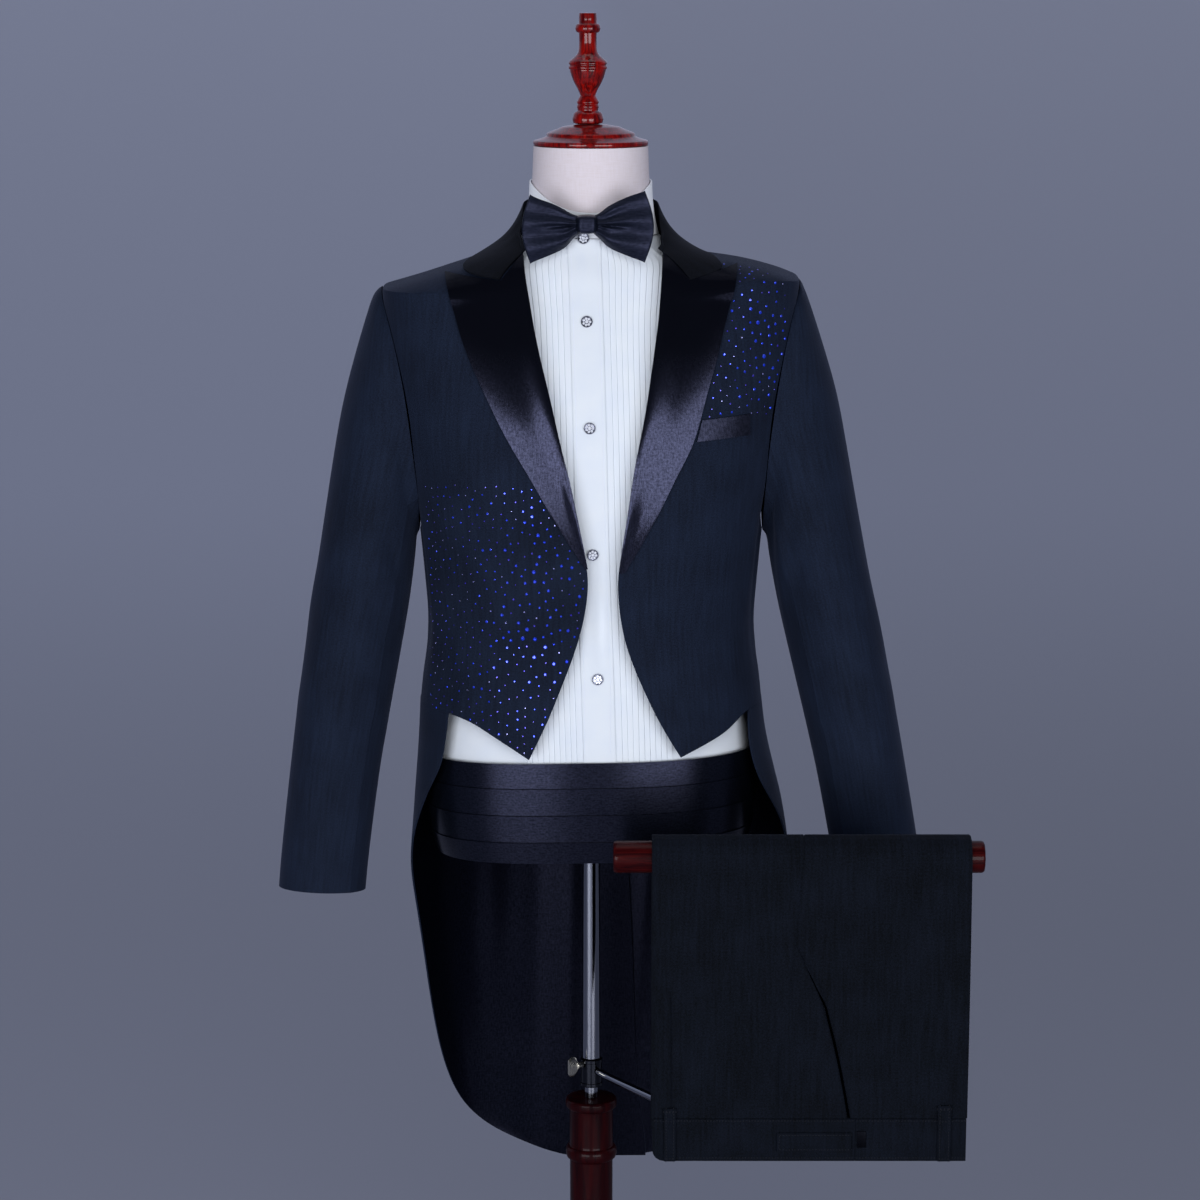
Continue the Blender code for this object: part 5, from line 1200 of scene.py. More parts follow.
# ---- The coat -------------------------------------------------------------------------------
@dataclass
class Tailcoat:
    """The coat's wool, its satin lapels and welt, and its lining."""

    shop: Workshop
    ground: Optional[Ground] = None
    pieces: dict[str, Piece] = field(default_factory=dict)

    def cuts(self) -> list[Cut]:
        """List the pieces of the coat.

        Returns:
            Each piece, right before left.
        """
        coat_folds, tail_folds = (COAT_FOLDS, COAT_FOLDS), (TAIL_FOLDS, TAIL_FOLDS)
        sleeve_folds = (RIGHT_SLEEVE_FOLDS, LEFT_SLEEVE_FOLDS)
        backs, outer_arms = (BODY_BACK_RIGHT, BODY_BACK_LEFT), (RIGHT_ARM, LEFT_ARM)
        inner_arms = (RIGHT_ARM_INNER, LEFT_ARM_INNER)
        sides = ("right", "left")
        found = []
        for node, flat, held, rests_on, lies, folds, levels in (
                ("coat_front", (0.36, 0.56), "draped", ("form_torso",) * 2, (BODY, BODY), coat_folds, 3),
                ("coat_back", (0.30, 0.54), "draped", ("form_torso",) * 2, backs, coat_folds, 2),
                ("tail", (0.42, 0.60), "hung", ("coat_back_right", "coat_back_left"), backs, tail_folds, 3),
                ("topsleeve", (0.26, 0.68), "hung", ("coat_front_right", "coat_front_left"), outer_arms,
                 sleeve_folds, 3),
                ("undersleeve", (0.20, 0.60), "hung", ("coat_back_right", "coat_back_left"), inner_arms,
                 sleeve_folds, 2)):
            for side, under, lie, creases in zip(sides, rests_on, lies, folds):
                found.append(Cut(f"{node}_{side}", COAT_WOOL, flat, held, (under,), lie, creases, LINING,
                                 levels))
        found.append(Cut("coat_collar", COLLAR_WOOL_PAINTED_SHADE, (0.60, 0.12), "folded", ("coat_back_left",), NECK,
                         rim=70.0))
        for side in sides:
            found.append(Cut(f"lapel_{side}", LAPEL_SATIN, (0.14, 0.38), "folded", (f"coat_front_{side}",),
                             BODY, COAT_FOLDS))
        found.append(Cut("chest_welt", WELT_SATIN, (0.060, 0.026), "laid", ("coat_front_left",), BODY,
                         COAT_FOLDS))
        return found

    def make(self) -> None:
        """Make the coat's cloth, and the ground that its stones are set on."""
        for cut in self.cuts():
            self.pieces[cut.node] = cut.make(self.shop)
        self.ground = Ground([self.pieces[name] for name in (
            "coat_front_right", "coat_front_left", "lapel_right", "lapel_left", "chest_welt", "coat_collar",
            "topsleeve_left", "topsleeve_right")])


# ---- The crystals ---------------------------------------------------------------------------
@dataclass(frozen=True)
class StoneField:
    """An area of the coat that is set with stones: its outline from the front, and how close they are."""

    outline: Outline
    on: str  # the piece that carries them
    gap: float
    seed: int
    bright: tuple[float, float]  # the place where the largest stones gather
    reach: tuple[float, float]  # how far they do so, across and up

    def holds(self, x: float, z: float) -> bool:
        """Tell whether a point lies inside the outline.

        Args:
            x: the place across.
            z: the height.
        Returns:
            True if it does.
        """
        inside = False
        ends = self.outline[1:] + self.outline[:1]
        for (x0, z0), (x1, z1) in zip(self.outline, ends):
            if (z0 > z) != (z1 > z) and x < (x1 - x0) * (z - z0) / (z1 - z0) + x0:
                inside = not inside
        return inside


@dataclass(frozen=True)
class StoneKind:
    """A kind of stone, its share of all stones near and far from the bright place, and its sizes."""

    name: str
    finish: Finish
    share: float
    far_share: float
    radii: tuple[float, float]


@dataclass
class Crystals:
    """The stones scattered over the right front and the left shoulder."""

    shop: Workshop
    ground: Ground  # the coat's cloth
    fields: tuple[StoneField, ...] = (
        StoneField(((-0.174, 1.212), (-0.090, 1.216), (-0.020, 1.218), (0.010, 1.150), (0.004, 1.090),
                    (-0.064, 0.921), (-0.118, 0.951), (-0.172, 0.970)),
                   "cloth_coat_front_right", 0.0082, 11, (-0.058, 1.070), (0.055, 0.150)),
        StoneField(((0.104, 1.452), (0.150, 1.447), (0.204, 1.420), (0.206, 1.380), (0.196, 1.300),
                    (0.186, 1.284), (0.108, 1.284), (0.112, 1.330)),
                   "cloth_coat_front_left", 0.0082, 29, (0.190, 1.360), (0.045, 0.080)),
    )
    kinds: tuple[StoneKind, ...] = (
        StoneKind("blue", STONE_BLUE, 0.84, 0.22, (0.0008, 0.0023)),
        StoneKind("violet", STONE_VIOLET, 0.13, 0.62, (0.0006, 0.0014)),
        StoneKind("clear", STONE_CLEAR, 0.03, 0.16, (0.0005, 0.0011)),
    )
    tries: int = 9000
    edge: float = 0.0022  # stones stay this far inside the cloth's edges,
    steep: float = -0.18  # and off cloth whose way out has more Y than this
    far_size: float = 0.25  # far from the bright place, a stone has this share of its size
    small_bias: float = 1.6  # more than 1 makes small stones commoner
    least: float = 0.15  # the smallest share of the range of sizes
    kind_seed: int = 5
    spin_seed: int = 3

    def scatter(self, area: StoneField) -> list[Seat]:
        """Drop stones on an area, each clear of the others and of the cloth's edges.

        Args:
            area: the area.
        Returns:
            For each stone its seat, the way out of the cloth, and how near it is to the bright place.
        """
        dice = random.Random(area.seed)
        xs = [x for x, _ in area.outline]
        zs = [z for _, z in area.outline]
        found: list[Seat] = []
        for _ in range(self.tries):
            x, z = dice.uniform(min(xs), max(xs)), dice.uniform(min(zs), max(zs))
            if not area.holds(x, z):
                continue
            here = self.ground.front(x, z)
            if here is None or here[2] != area.on or here[1].y > self.steep:
                continue
            if any((here[0] - other[0]).length < area.gap for other in found):
                continue
            around = [self.ground.front(x + dx, z + dz) for dx, dz in
                      ((self.edge, 0), (-self.edge, 0), (0, self.edge), (0, -self.edge))]
            if any(spot is None or spot[2] != area.on for spot in around):
                continue
            across, up = (x - area.bright[0]) / area.reach[0], (z - area.bright[1]) / area.reach[1]
            found.append((here[0], here[1], math.exp(-across ** 2 - up ** 2)))
        return found

    def make(self) -> None:
        """Set every stone, one piece for each kind."""
        tree, stone = setting_tree(), cut_stone("stone_shape")
        dice = random.Random(self.kind_seed)
        groups: dict[str, list[Seat]] = {kind.name: [] for kind in self.kinds}
        for area in self.fields:
            for seat, outward, near in self.scatter(area):
                shares = [kind.share * near + kind.far_share * (1 - near) for kind in self.kinds]
                kind = dice.choices(self.kinds, weights=shares)[0]
                low, high = kind.radii
                grown = (self.far_size + (1 - self.far_size) * near) * (
                    dice.random() ** self.small_bias + self.least)
                groups[kind.name].append((seat, outward, low + (high - low) * min(1.0, grown)))
        for kind in self.kinds:
            points = placed_points("stone_points", groups[kind.name])
            step = points.modifiers.new("Set", "NODES")
            step.node_group = tree
            set_inputs(step, {"Stone": stone, "Seed": self.spin_seed, "Material": kind.finish.build()})
            self.shop.finish(link("crystals_" + kind.name, plain_mesh(points)), [kind.finish], (),
                             f"{len(groups[kind.name])} stones")
        bpy.data.objects.remove(stone)


# ---- Stitching ------------------------------------------------------------------------------
@dataclass
class Needle:
    """Sews rows of stitches along lines on finished cloth."""

    shop: Workshop
    tree: Tree = field(default_factory=stitching_tree)
    stride: float = 0.002  # the cloth is felt for about this often along a line
    raised: float = 0.15  # the thread's middle stands this share of its thickness off the cloth
    nearest: float = 0.00001  # places along a line that are nearer than this are one

    def sew(self, name: str, ground: Ground, lines: Sequence[Line], finish: Finish,
            on: Sequence[str], pitch: float, length: float, thick: float) -> None:
        """Sew lines given as (x, z) places seen from the front.

        Args:
            name: the piece's name.
            ground: the cloth that is felt for.
            lines: the rows, as corner points.
            finish: the thread.
            on: the names of the pieces that take the stitches.
            pitch: from one stitch to the next.
            length: of a stitch.
            thick: of the thread.
        """
        stitch = stitch_shape("stitch_shape", length, thick)
        rows = []
        for line in lines:
            run: list[Seat] = []
            for (x0, z0), (x1, z1) in zip(line, line[1:]):
                steps = max(2, int(math.hypot(x1 - x0, z1 - z0) / self.stride))
                for step in range(steps + 1):
                    share = step / steps
                    here = ground.front(x0 + (x1 - x0) * share, z0 + (z1 - z0) * share)
                    if here is not None and here[2] in on:
                        run.append((here[0] + here[1] * thick * self.raised, here[1], 1.0))
                    else:
                        rows.append(run)
                        run = []
            rows.append(run)
        parts = []
        for run in rows:
            run = [place for index, place in enumerate(run)
                   if index == 0 or (place[0] - run[index - 1][0]).length > self.nearest]
            if len(run) < 3:
                continue
            part = placed_points("stitch_line", run, in_line=True)
            step = part.modifiers.new("Sew", "NODES")
            step.node_group = self.tree
            set_inputs(step, {"Stitch": stitch, "Pitch": pitch, "Material": finish.build()})
            parts.append(plain_mesh(part))
        bpy.data.objects.remove(stitch)
        self.shop.finish(link(name, joined(name, parts)), [finish], (), "stitches")


def joined(name: str, parts: Sequence[Mesh]) -> Mesh:
    """Put several meshes into one.

    Args:
        name: the mesh's name.
        parts: the meshes, which are removed.
    Returns:
        The mesh.
    """
    work = bmesh.new()
    for part in parts:
        work.from_mesh(part)
        bpy.data.meshes.remove(part)
    return made(work, name)


# ---- The shirt ------------------------------------------------------------------------------
@dataclass
class Shirt:
    """The tucked shirt, its placket, its collar and its jewelled studs."""

    shop: Workshop
    needle: Needle
    studs: Outline = ((-0.0070, 1.4662), (-0.0040, 1.3810), (-0.0010, 1.2740), (0.0020, 1.1430),
                      (0.0070, 1.0080))
    placket_half: float = 0.0168
    sewn_in: float = 0.0030  # the stitching runs this far inside the placket's edge,
    sewn_from: float = 0.93  # up from this height,
    sewn_steps: int = 53  # in this many steps
    sewn_step: float = 0.01  # of this length
    below_collar: float = 1.459  # the cloth is felt for no higher than this
    setting_profile: Outline = ((0.0040, 0.0), (0.0056, 0.0004), (0.0060, 0.0012), (0.0060, 0.0021),
                                (0.0056, 0.0025), (0.0052, 0.0021), (0.0051, 0.0012), (0.0008, 0.0012))
    middle_stone: tuple[float, float] = (0.0014, 0.00195)  # how far it stands out, and its radius
    small_stone: tuple[float, float] = (0.0012, 0.00150)  # the same for each of those round it
    small_stones: int = 7
    ring_radius: float = 0.00355
    crown: float = 1.1  # the studs' stones are cut this much taller than the coat's
    pieces: dict[str, Piece] = field(default_factory=dict)

    def cuts(self) -> list[Cut]:
        """List the pieces of the shirt.

        Returns:
            How each of them is cut.
        """
        on_form, front = ("form_torso",), (0.36, 0.66)
        return [
            Cut("shirt_front_right", SHIRT_COTTON, front, "draped", on_form, BODY, SHIRT_FOLDS),
            Cut("shirt_front_left", SHIRT_COTTON, front, "draped", on_form, BODY, SHIRT_FOLDS),
            Cut("shirt_back", SHIRT_COTTON, (0.56, 0.66), "draped", on_form, BODY_BACK, levels=1),
            Cut("shirt_placket", SHIRT_COTTON, (0.036, 0.66), "laid", ("shirt_front_left",), BODY,
                SHIRT_FOLDS),
            Cut("shirt_collar", COLLAR_COTTON_PAINTED_LIGHT, (0.44, 0.062), "folded", on_form, NECK),
        ]

    def middle(self, z: float) -> float:
        """Where the placket's middle line lies at a height."""
        rows = sorted((height, x) for x, height in self.studs)
        return float(np.interp(z, [row[0] for row in rows], [row[1] for row in rows]))

    def make(self) -> None:
        """Make the shirt, sew its placket and set its studs."""
        for cut in self.cuts():
            self.pieces[cut.node] = cut.make(self.shop)
        ground = Ground([self.pieces["shirt_placket"], self.pieces["shirt_front_right"],
                         self.pieces["shirt_front_left"]])
        levels = [self.sewn_from + self.sewn_step * step for step in range(self.sewn_steps)]
        lines = [[(self.middle(z) + side * (self.placket_half - self.sewn_in), z) for z in levels]
                 for side in (-1, 1)]
        self.needle.sew("stitches_placket", ground, lines, WHITE_THREAD, ("cloth_shirt_placket",),
                        pitch=0.0026, length=0.0019, thick=0.0004)
        for number in range(1, len(self.studs) + 1):
            self.make_stud(ground, number)

    def make_stud(self, ground: Ground, number: int) -> None:
        """Make a stud: a turned metal setting, one stone in the middle and seven round it.

        Args:
            ground: the shirt's cloth.
            number: which stud, counted from the top.
        """
        node = f"shirt_stud_{number}"
        low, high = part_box(node)
        middle = (low + high) / 2
        point, outward, _ = ground.front(middle.x, min(middle.z, self.below_collar))
        turn = Vector((0, 0, 1)).rotation_difference(outward).to_matrix().to_4x4()
        setting = revolve("setting", softened(self.setting_profile), 40)
        out, radius = self.middle_stone
        stones = [(Vector((0, 0, out)), radius)]
        out, radius = self.small_stone
        for step in range(self.small_stones):
            angle = 2 * math.pi * step / self.small_stones
            x, y = self.ring_radius * math.cos(angle), self.ring_radius * math.sin(angle)
            stones.append((Vector((x, y, out)), radius))
        work = bmesh.new()
        work.from_mesh(setting.data)
        metal_faces = len(work.faces)
        for place, radius in stones:
            stone = cut_stone("stud_stone")
            size = Matrix.Diagonal((radius, radius, radius * self.crown, 1.0))
            stone.data.transform(Matrix.Translation(place) @ size)
            work.from_mesh(stone.data)
            bpy.data.objects.remove(stone)
        work.faces.ensure_lookup_table()
        for face in work.faces[metal_faces:]:
            face.material_index = 1
            face.smooth = False
        bpy.data.objects.remove(setting)
        mesh = made(work, node)
        mesh.transform(Matrix.Translation(Vector((middle.x, point.y, middle.z))) @ turn)
        self.shop.finish(link(f"jewelled_stud_{number}", mesh), [SETTING_METAL, STUD_STONE], (node,), "stud")


# ---- Bow tie and cummerbund -----------------------------------------------------------------
@dataclass(frozen=True)
class Pleat:
    """A fold that fans out from the bow's knot."""

    angle: float  # degrees above the wing's level middle
    width: float  # degrees
    rise: float
    from_r: float
    to_r: float


@dataclass
class BowAndSash:
    """The bow tie with its fanned folds, and the pleated cummerbund."""

    shop: Workshop
    knot: tuple[float, float] = (-0.0038, 1.4826)
    right_pleats: tuple[Pleat, ...] = (
        Pleat(-2, 4, -0.0042, 0.006, 0.043), Pleat(10, 6, 0.0012, 0.008, 0.034),
        Pleat(-13, 6, 0.0013, 0.008, 0.030), Pleat(25, 5, -0.0010, 0.008, 0.024),
    )
    left_pleats: tuple[Pleat, ...] = (
        Pleat(-2, 4, -0.0042, 0.006, 0.040), Pleat(8, 5, 0.0012, 0.008, 0.040),
        Pleat(19, 5, -0.0012, 0.009, 0.032), Pleat(30, 6, 0.0011, 0.010, 0.040),
        Pleat(-13, 6, 0.0013, 0.008, 0.028),
    )
    starts_over: float = 0.0025  # a pleat rises out of the knot over this
    ends_over: float = 0.0045  # and dies away over this
    front_y: float = -0.0865  # only cloth in front of this is pleated,
    front_soft: float = 0.004  # and fully so this much further out
    pinch: float = 0.20  # the wing is gathered by this share at the knot,
    pinch_reach: float = 0.014  # and less out to here
    waist_out: float = 0.0095  # just outside the knot, this far from its middle,
    waist_half: float = 0.004  # and this far to either side,
    waist_in: float = 0.0045  # the wing's edge is drawn in by this
    knot_spread: float = 1.30  # the knot's cloth is pulled over the wings' ends

    def fan(self, side: int, pleats: Sequence[Pleat]) -> Reshape:
        """Give what fans a wing's folds out from the knot.

        Args:
            side: -1 for the right wing, 1 for the left.
            pleats: the wing's folds.
        Returns:
            What reshapes the wing's mesh.
        """
        def reshape(mesh: Mesh) -> None:
            """Raise the folds and draw the wing in at the knot.

            Args:
                mesh: the wing's mesh.
            """
            points = points_of(mesh)
            out, up = (points[:, 0] - self.knot[0]) * side, points[:, 2] - self.knot[1]
            reach, angle = np.hypot(out, up), np.degrees(np.arctan2(up, out))
            total = np.zeros(len(points))
            for pleat in pleats:
                inside = 1 / (1 + np.exp(-(reach - pleat.from_r) / self.starts_over))
                fading = 1 / (1 + np.exp((reach - pleat.to_r) / self.ends_over))
                total += pleat.rise * np.exp(-((angle - pleat.angle) / pleat.width) ** 2) * inside * fading
            front = np.clip((self.front_y - points[:, 1]) / self.front_soft, 0.0, 1.0)
            points[:, 1] -= total * front
            points[:, 2] -= up * self.pinch * np.exp(-(out / self.pinch_reach) ** 2)
            waist = np.exp(-((out - self.waist_out) / self.waist_half) ** 2)
            points[:, 0] -= side * self.waist_in * waist
            move_points(mesh, points)
        return reshape

    def pull_over(self, mesh: Mesh) -> None:
        """Pull the knot's cloth over the ends of the wings.

        Args:
            mesh: the knot's mesh.
        """
        points = points_of(mesh)
        points[:, 0] = self.knot[0] + (points[:, 0] - self.knot[0]) * self.knot_spread
        move_points(mesh, points)

    def make(self) -> None:
        """Make the wings, the knot and the cummerbund."""
        for node, flat, held, rim, reshape in (
                ("bow_wing_right", (0.075, 0.080), "gathered", 70.0, self.fan(-1, self.right_pleats)),
                ("bow_wing_left", (0.075, 0.080), "gathered", 70.0, self.fan(1, self.left_pleats)),
                ("bow_knot", (0.050, 0.060), "folded", 75.0, self.pull_over)):
            Cut(node, BOW_SATIN, flat, held, ("shirt_collar",), NECK, levels=3, rim=rim).make(
                self.shop, reshape)
        Cut("cummerbund_front", SASH_SATIN, (0.56, 0.13), "stretched", ("shirt_front_left",), levels=3,
            rim=42.0).make(self.shop)
        Cut("cummerbund_back", SASH_SATIN, (0.42, 0.06), "stretched", ("shirt_back",),
            BODY_BACK).make(self.shop)


# ---- The trousers ---------------------------------------------------------------------------
@dataclass(frozen=True)
class Groove:
    """A pressed seam seen from the front: its corner points, half its width and its depth."""

    line: Outline
    half_width: float
    depth: float
    reach: float = 0.010  # faces whose middle is further off than this are left whole,
    past: float = 0.006  # and so are those this far past an end

    def press(self, mesh: Mesh) -> None:
        """Cut the seam's lines into the front faces and sink its middle.

        Args:
            mesh: the cloth's mesh.
        """
        work = bmesh.new()
        work.from_mesh(mesh)
        for (x0, z0), (x1, z1) in zip(self.line, self.line[1:]):
            run = Vector((x1 - x0, 0.0, z1 - z0)).normalized()
            aside = run.cross(Vector((0.0, 1.0, 0.0)))
            start, length = Vector((x0, 0.0, z0)), math.hypot(x1 - x0, z1 - z0)
            for off in (-self.half_width, 0.0, self.half_width):
                faces = []
                for face in work.faces:
                    place = face.calc_center_median() - start
                    place.y = 0.0
                    beside = abs(place.dot(aside)) < self.reach
                    within = -self.past < place.dot(run) < length + self.past
                    if face.normal.y < LOOKS_FRONT and beside and within:
                        faces.append(face)
                edges = {edge for face in faces for edge in face.edges}
                verts = {vert for face in faces for vert in face.verts}
                bmesh.ops.bisect_plane(work, geom=faces + list(edges) + list(verts),
                                       plane_co=start + aside * off, plane_no=aside, dist=1e-6)
        for vert in work.verts:
            if vert.normal.y > LOOKS_FRONT:
                continue
            share = min(self.distance(vert.co.x, vert.co.z) / self.half_width, 1.0)
            vert.co.y += self.depth * (1 - share)
        work.to_mesh(mesh)
        work.free()
        mesh.update()

    def distance(self, x: float, z: float) -> float:
        """Measure how far a place is from the seam.

        Args:
            x: the place across.
            z: the height.
        Returns:
            The distance, or 1 if it is further.
        """
        best = 1.0
        for (x0, z0), (x1, z1) in zip(self.line, self.line[1:]):
            span = (x1 - x0) ** 2 + (z1 - z0) ** 2
            share = min(max(((x - x0) * (x1 - x0) + (z - z0) * (z1 - z0)) / span, 0.0), 1.0)
            best = min(best, math.hypot(x - x0 - (x1 - x0) * share, z - z0 - (z1 - z0) * share))
        return best


@dataclass
class Trousers:
    """The trousers that hang folded over the bar, waistband down."""

    shop: Workshop
    needle: Needle
    split: Outline = ((0.543, 0.2690), (0.588, 0.2640), (0.612, 0.2600), (0.666, 0.2490), (0.728, 0.2320),
                      (0.757, 0.2165), (0.772, 0.2080), (0.797, 0.2095),
                      (0.880, 0.2160))  # (z, x) of the line where the legs meet
    crotch_z: float = 0.772
    parting: float = 0.0011  # how far each leg draws back from the line below the crotch,
    parts_under: float = 0.010  # beginning this far below it
    parts_over: float = 0.024  # and in full this much lower
    seam: float = 0.0012  # elsewhere each closes the gap by this, where the legs are sewn together
    shut_from: float = 0.40  # the gap closes where the cloth has rounded over by this share
    roll: float = 0.0045  # the cloth rounds over this far from the line
    sunk: float = 0.0010  # how deep the seam lies above the crotch
    sunk_apart: float = 0.0016  # and how much deeper below it,
    deep_above: float = 0.002  # beginning this far above it
    deep_over: float = 0.010  # and in full this much lower
    band_end: float = 0.2600  # the left band's end reaches past this
    overlap: float = 0.0010  # and closes on the right band
    proud: float = 0.0007  # loops and tab stand this much further out than their plain solids
    plate_round: float = 0.0007  # the radius of a pressed plate's edges
    hook_round: float = 0.0003  # and of the hook's
    plate_rim: float = 50.0  # degrees: edges sharper than this are rounded
    inset: float = 0.0022  # stitches run this far inside an edge
    band_rows: tuple[float, ...] = (0.5862, 0.5465)  # the heights of the band's two rows of stitches
    band_starts: tuple[float, ...] = (0.0655, 0.0780)  # where each of them starts, at the left end
    band_gap: tuple[float, float] = (0.2680, 0.2725)  # no stitches cross the bands' meeting
    band_stop: float = 0.3825
    bar_tacks: tuple[float, ...] = (0.0030, 0.0040)  # the loops' cross rows, down from their tops
    under_crease: Groove = Groove(((0.2070, 0.772), (0.2035, 0.735), (0.2015, 0.705)), 0.0022, 0.0011)
    pocket: Groove = Groove(((0.0815, 0.722), (0.0820, 0.660), (0.0825, 0.592)), 0.0013, 0.0015)
    dart: Groove = Groove(((0.1915, 0.665), (0.1920, 0.592)), 0.0012, 0.0011)

    def make(self) -> None:
        """Make the legs, the waistband and what is sewn on it."""
        for node, side, grooves in (("trouser_leg_left", -1, (self.under_crease, self.pocket, self.dart)),
                                    ("trouser_leg_right", 1, ())):
            Cut(node, TROUSER_WOOL, (0.20, 0.72), "folded", ("trouser_bar",), FLAT, TROUSER_FOLDS, levels=3,
                rim=60.0, pressed=True).make(self.shop, self.pressing(side, grooves))
        band = [self.make_plate(node, flat) for node, flat in (
            ("waistband_left", (0.215, 0.052)), ("waistband_right", (0.120, 0.052)),
            ("belt_loop_1", (0.014, 0.060)), ("belt_loop_2", (0.016, 0.062)), ("waist_tab", (0.078, 0.022)))]
        hook = self.rounded_plate("waist_hook", self.hook_round)
        self.shop.finish(hook, [HOOK_METAL], ("waist_hook",), "hook")
        self.needle.sew("stitches_waistband", Ground(band), self.seam_lines(), BLACK_THREAD,
                        [piece.name for piece in band], pitch=0.0030, length=0.0022, thick=0.0005)

    def seam_lines(self) -> list[list[tuple[float, float]]]:
        """Draw the lines of stitches on the band, the tab and the loops.

        Returns:
            Each line's corner points, as (x, z).
        """
        lines = []
        for z, start in zip(self.band_rows, self.band_starts):
            lines += [[(start, z), (self.band_gap[0], z)], [(self.band_gap[1], z), (self.band_stop, z)]]
        low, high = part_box("waist_tab")
        lines.append([(high.x, low.z + self.inset), (low.x + self.inset, low.z + self.inset),
                      (low.x + self.inset, high.z - self.inset), (high.x, high.z - self.inset)])
        for node in ("belt_loop_1", "belt_loop_2"):
            low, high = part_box(node)
            lines += [[(x, low.z), (x, high.z)] for x in (low.x + self.inset, high.x - self.inset)]
            lines += [[(low.x, high.z - down), (high.x, high.z - down)] for down in self.bar_tacks]
        return lines

    def pressing(self, side: int, grooves: Sequence[Groove]) -> Reshape:
        """Give what presses a leg's seams and parts it from the other.

        Args:
            side: -1 for the leg that lies towards -X, 1 for the other.
            grooves: its pressed seams.
        Returns:
            What reshapes the leg's mesh.
        """
        def reshape(mesh: Mesh) -> None:
            """Press the seams, then part the legs.

            Args:
                mesh: the leg's mesh.
            """
            for groove in grooves:
                groove.press(mesh)
            self.part(mesh, side)
        return reshape

    def part(self, mesh: Mesh, side: int) -> None:
        """Draw a leg back from the line where the legs meet, and round its edge over.

        Args:
            mesh: the leg.
            side: -1 for the leg that lies towards -X, 1 for the other.
        """
        Groove(tuple((x, z) for z, x in self.split), self.roll, 0.0).press(mesh)
        points = points_of(mesh)
        line = np.interp(points[:, 2], [z for z, _ in self.split], [x for _, x in self.split])
        away = np.clip(1 - np.abs(points[:, 0] - line) / self.roll, 0.0, 1.0)
        below = np.clip((self.crotch_z - self.parts_under - points[:, 2]) / self.parts_over, 0.0, 1.0)
        apart = np.clip((self.crotch_z + self.deep_above - points[:, 2]) / self.deep_over, 0.0, 1.0)
        on_front = (points[:, 1] < TROUSER_BAR_Y).astype(float)
        gap = self.parting * below * on_front
        shut = self.seam * (1 - below * on_front)
        points[:, 0] += side * (gap * away**2 - shut * (away > self.shut_from))
        points[:, 1] += (self.sunk + self.sunk_apart * apart) * on_front * away**2
        move_points(mesh, points)

    def rounded_plate(self, node: str, radius: float) -> Piece:
        """Make a flat piece with softly rounded edges.

        Args:
            node: the node whose outline it has.
            radius: of its edges.
        Returns:
            The piece.
        """
        cage = squared_copy(self.shop.nodes[node].data, self.plate_rim)
        work = bmesh.new()
        work.from_mesh(cage)
        bpy.data.meshes.remove(cage)
        bmesh.ops.dissolve_limit(work, angle_limit=math.radians(2), verts=work.verts, edges=work.edges)
        sharp = [edge for edge in work.edges if edge.calc_face_angle(0.0) > math.radians(self.plate_rim)]
        bmesh.ops.bevel(work, geom=sharp, offset=radius, segments=3, profile=0.5, affect="EDGES",
                        clamp_overlap=True)
        mesh = made(work, node)
        shade(mesh, 30.0)
        return link("plate_" + node, mesh)

    def make_plate(self, node: str, flat: tuple[float, float]) -> Piece:
        """Make a strip or band of the waist, pressed flat, with rounded edges.

        Args:
            node: the node it stands for.
            flat: its size before it is sewn on.
        Returns:
            The finished piece.
        """
        piece = self.rounded_plate(node, self.plate_round)
        points = points_of(piece.data)
        if node == "waistband_left":
            points[points[:, 0] > self.band_end, 0] += self.overlap
        elif not node.startswith("waistband"):
            points[points[:, 1] < points[:, 1].mean(), 1] -= self.proud
        move_points(piece.data, points)
        lay_grain(piece.data, FLAT)
        self.shop.finish(piece, [TROUSER_WOOL], (node,), "pressed")
        area = min(layer_area(piece.data), flat[0] * flat[1])
        return piece


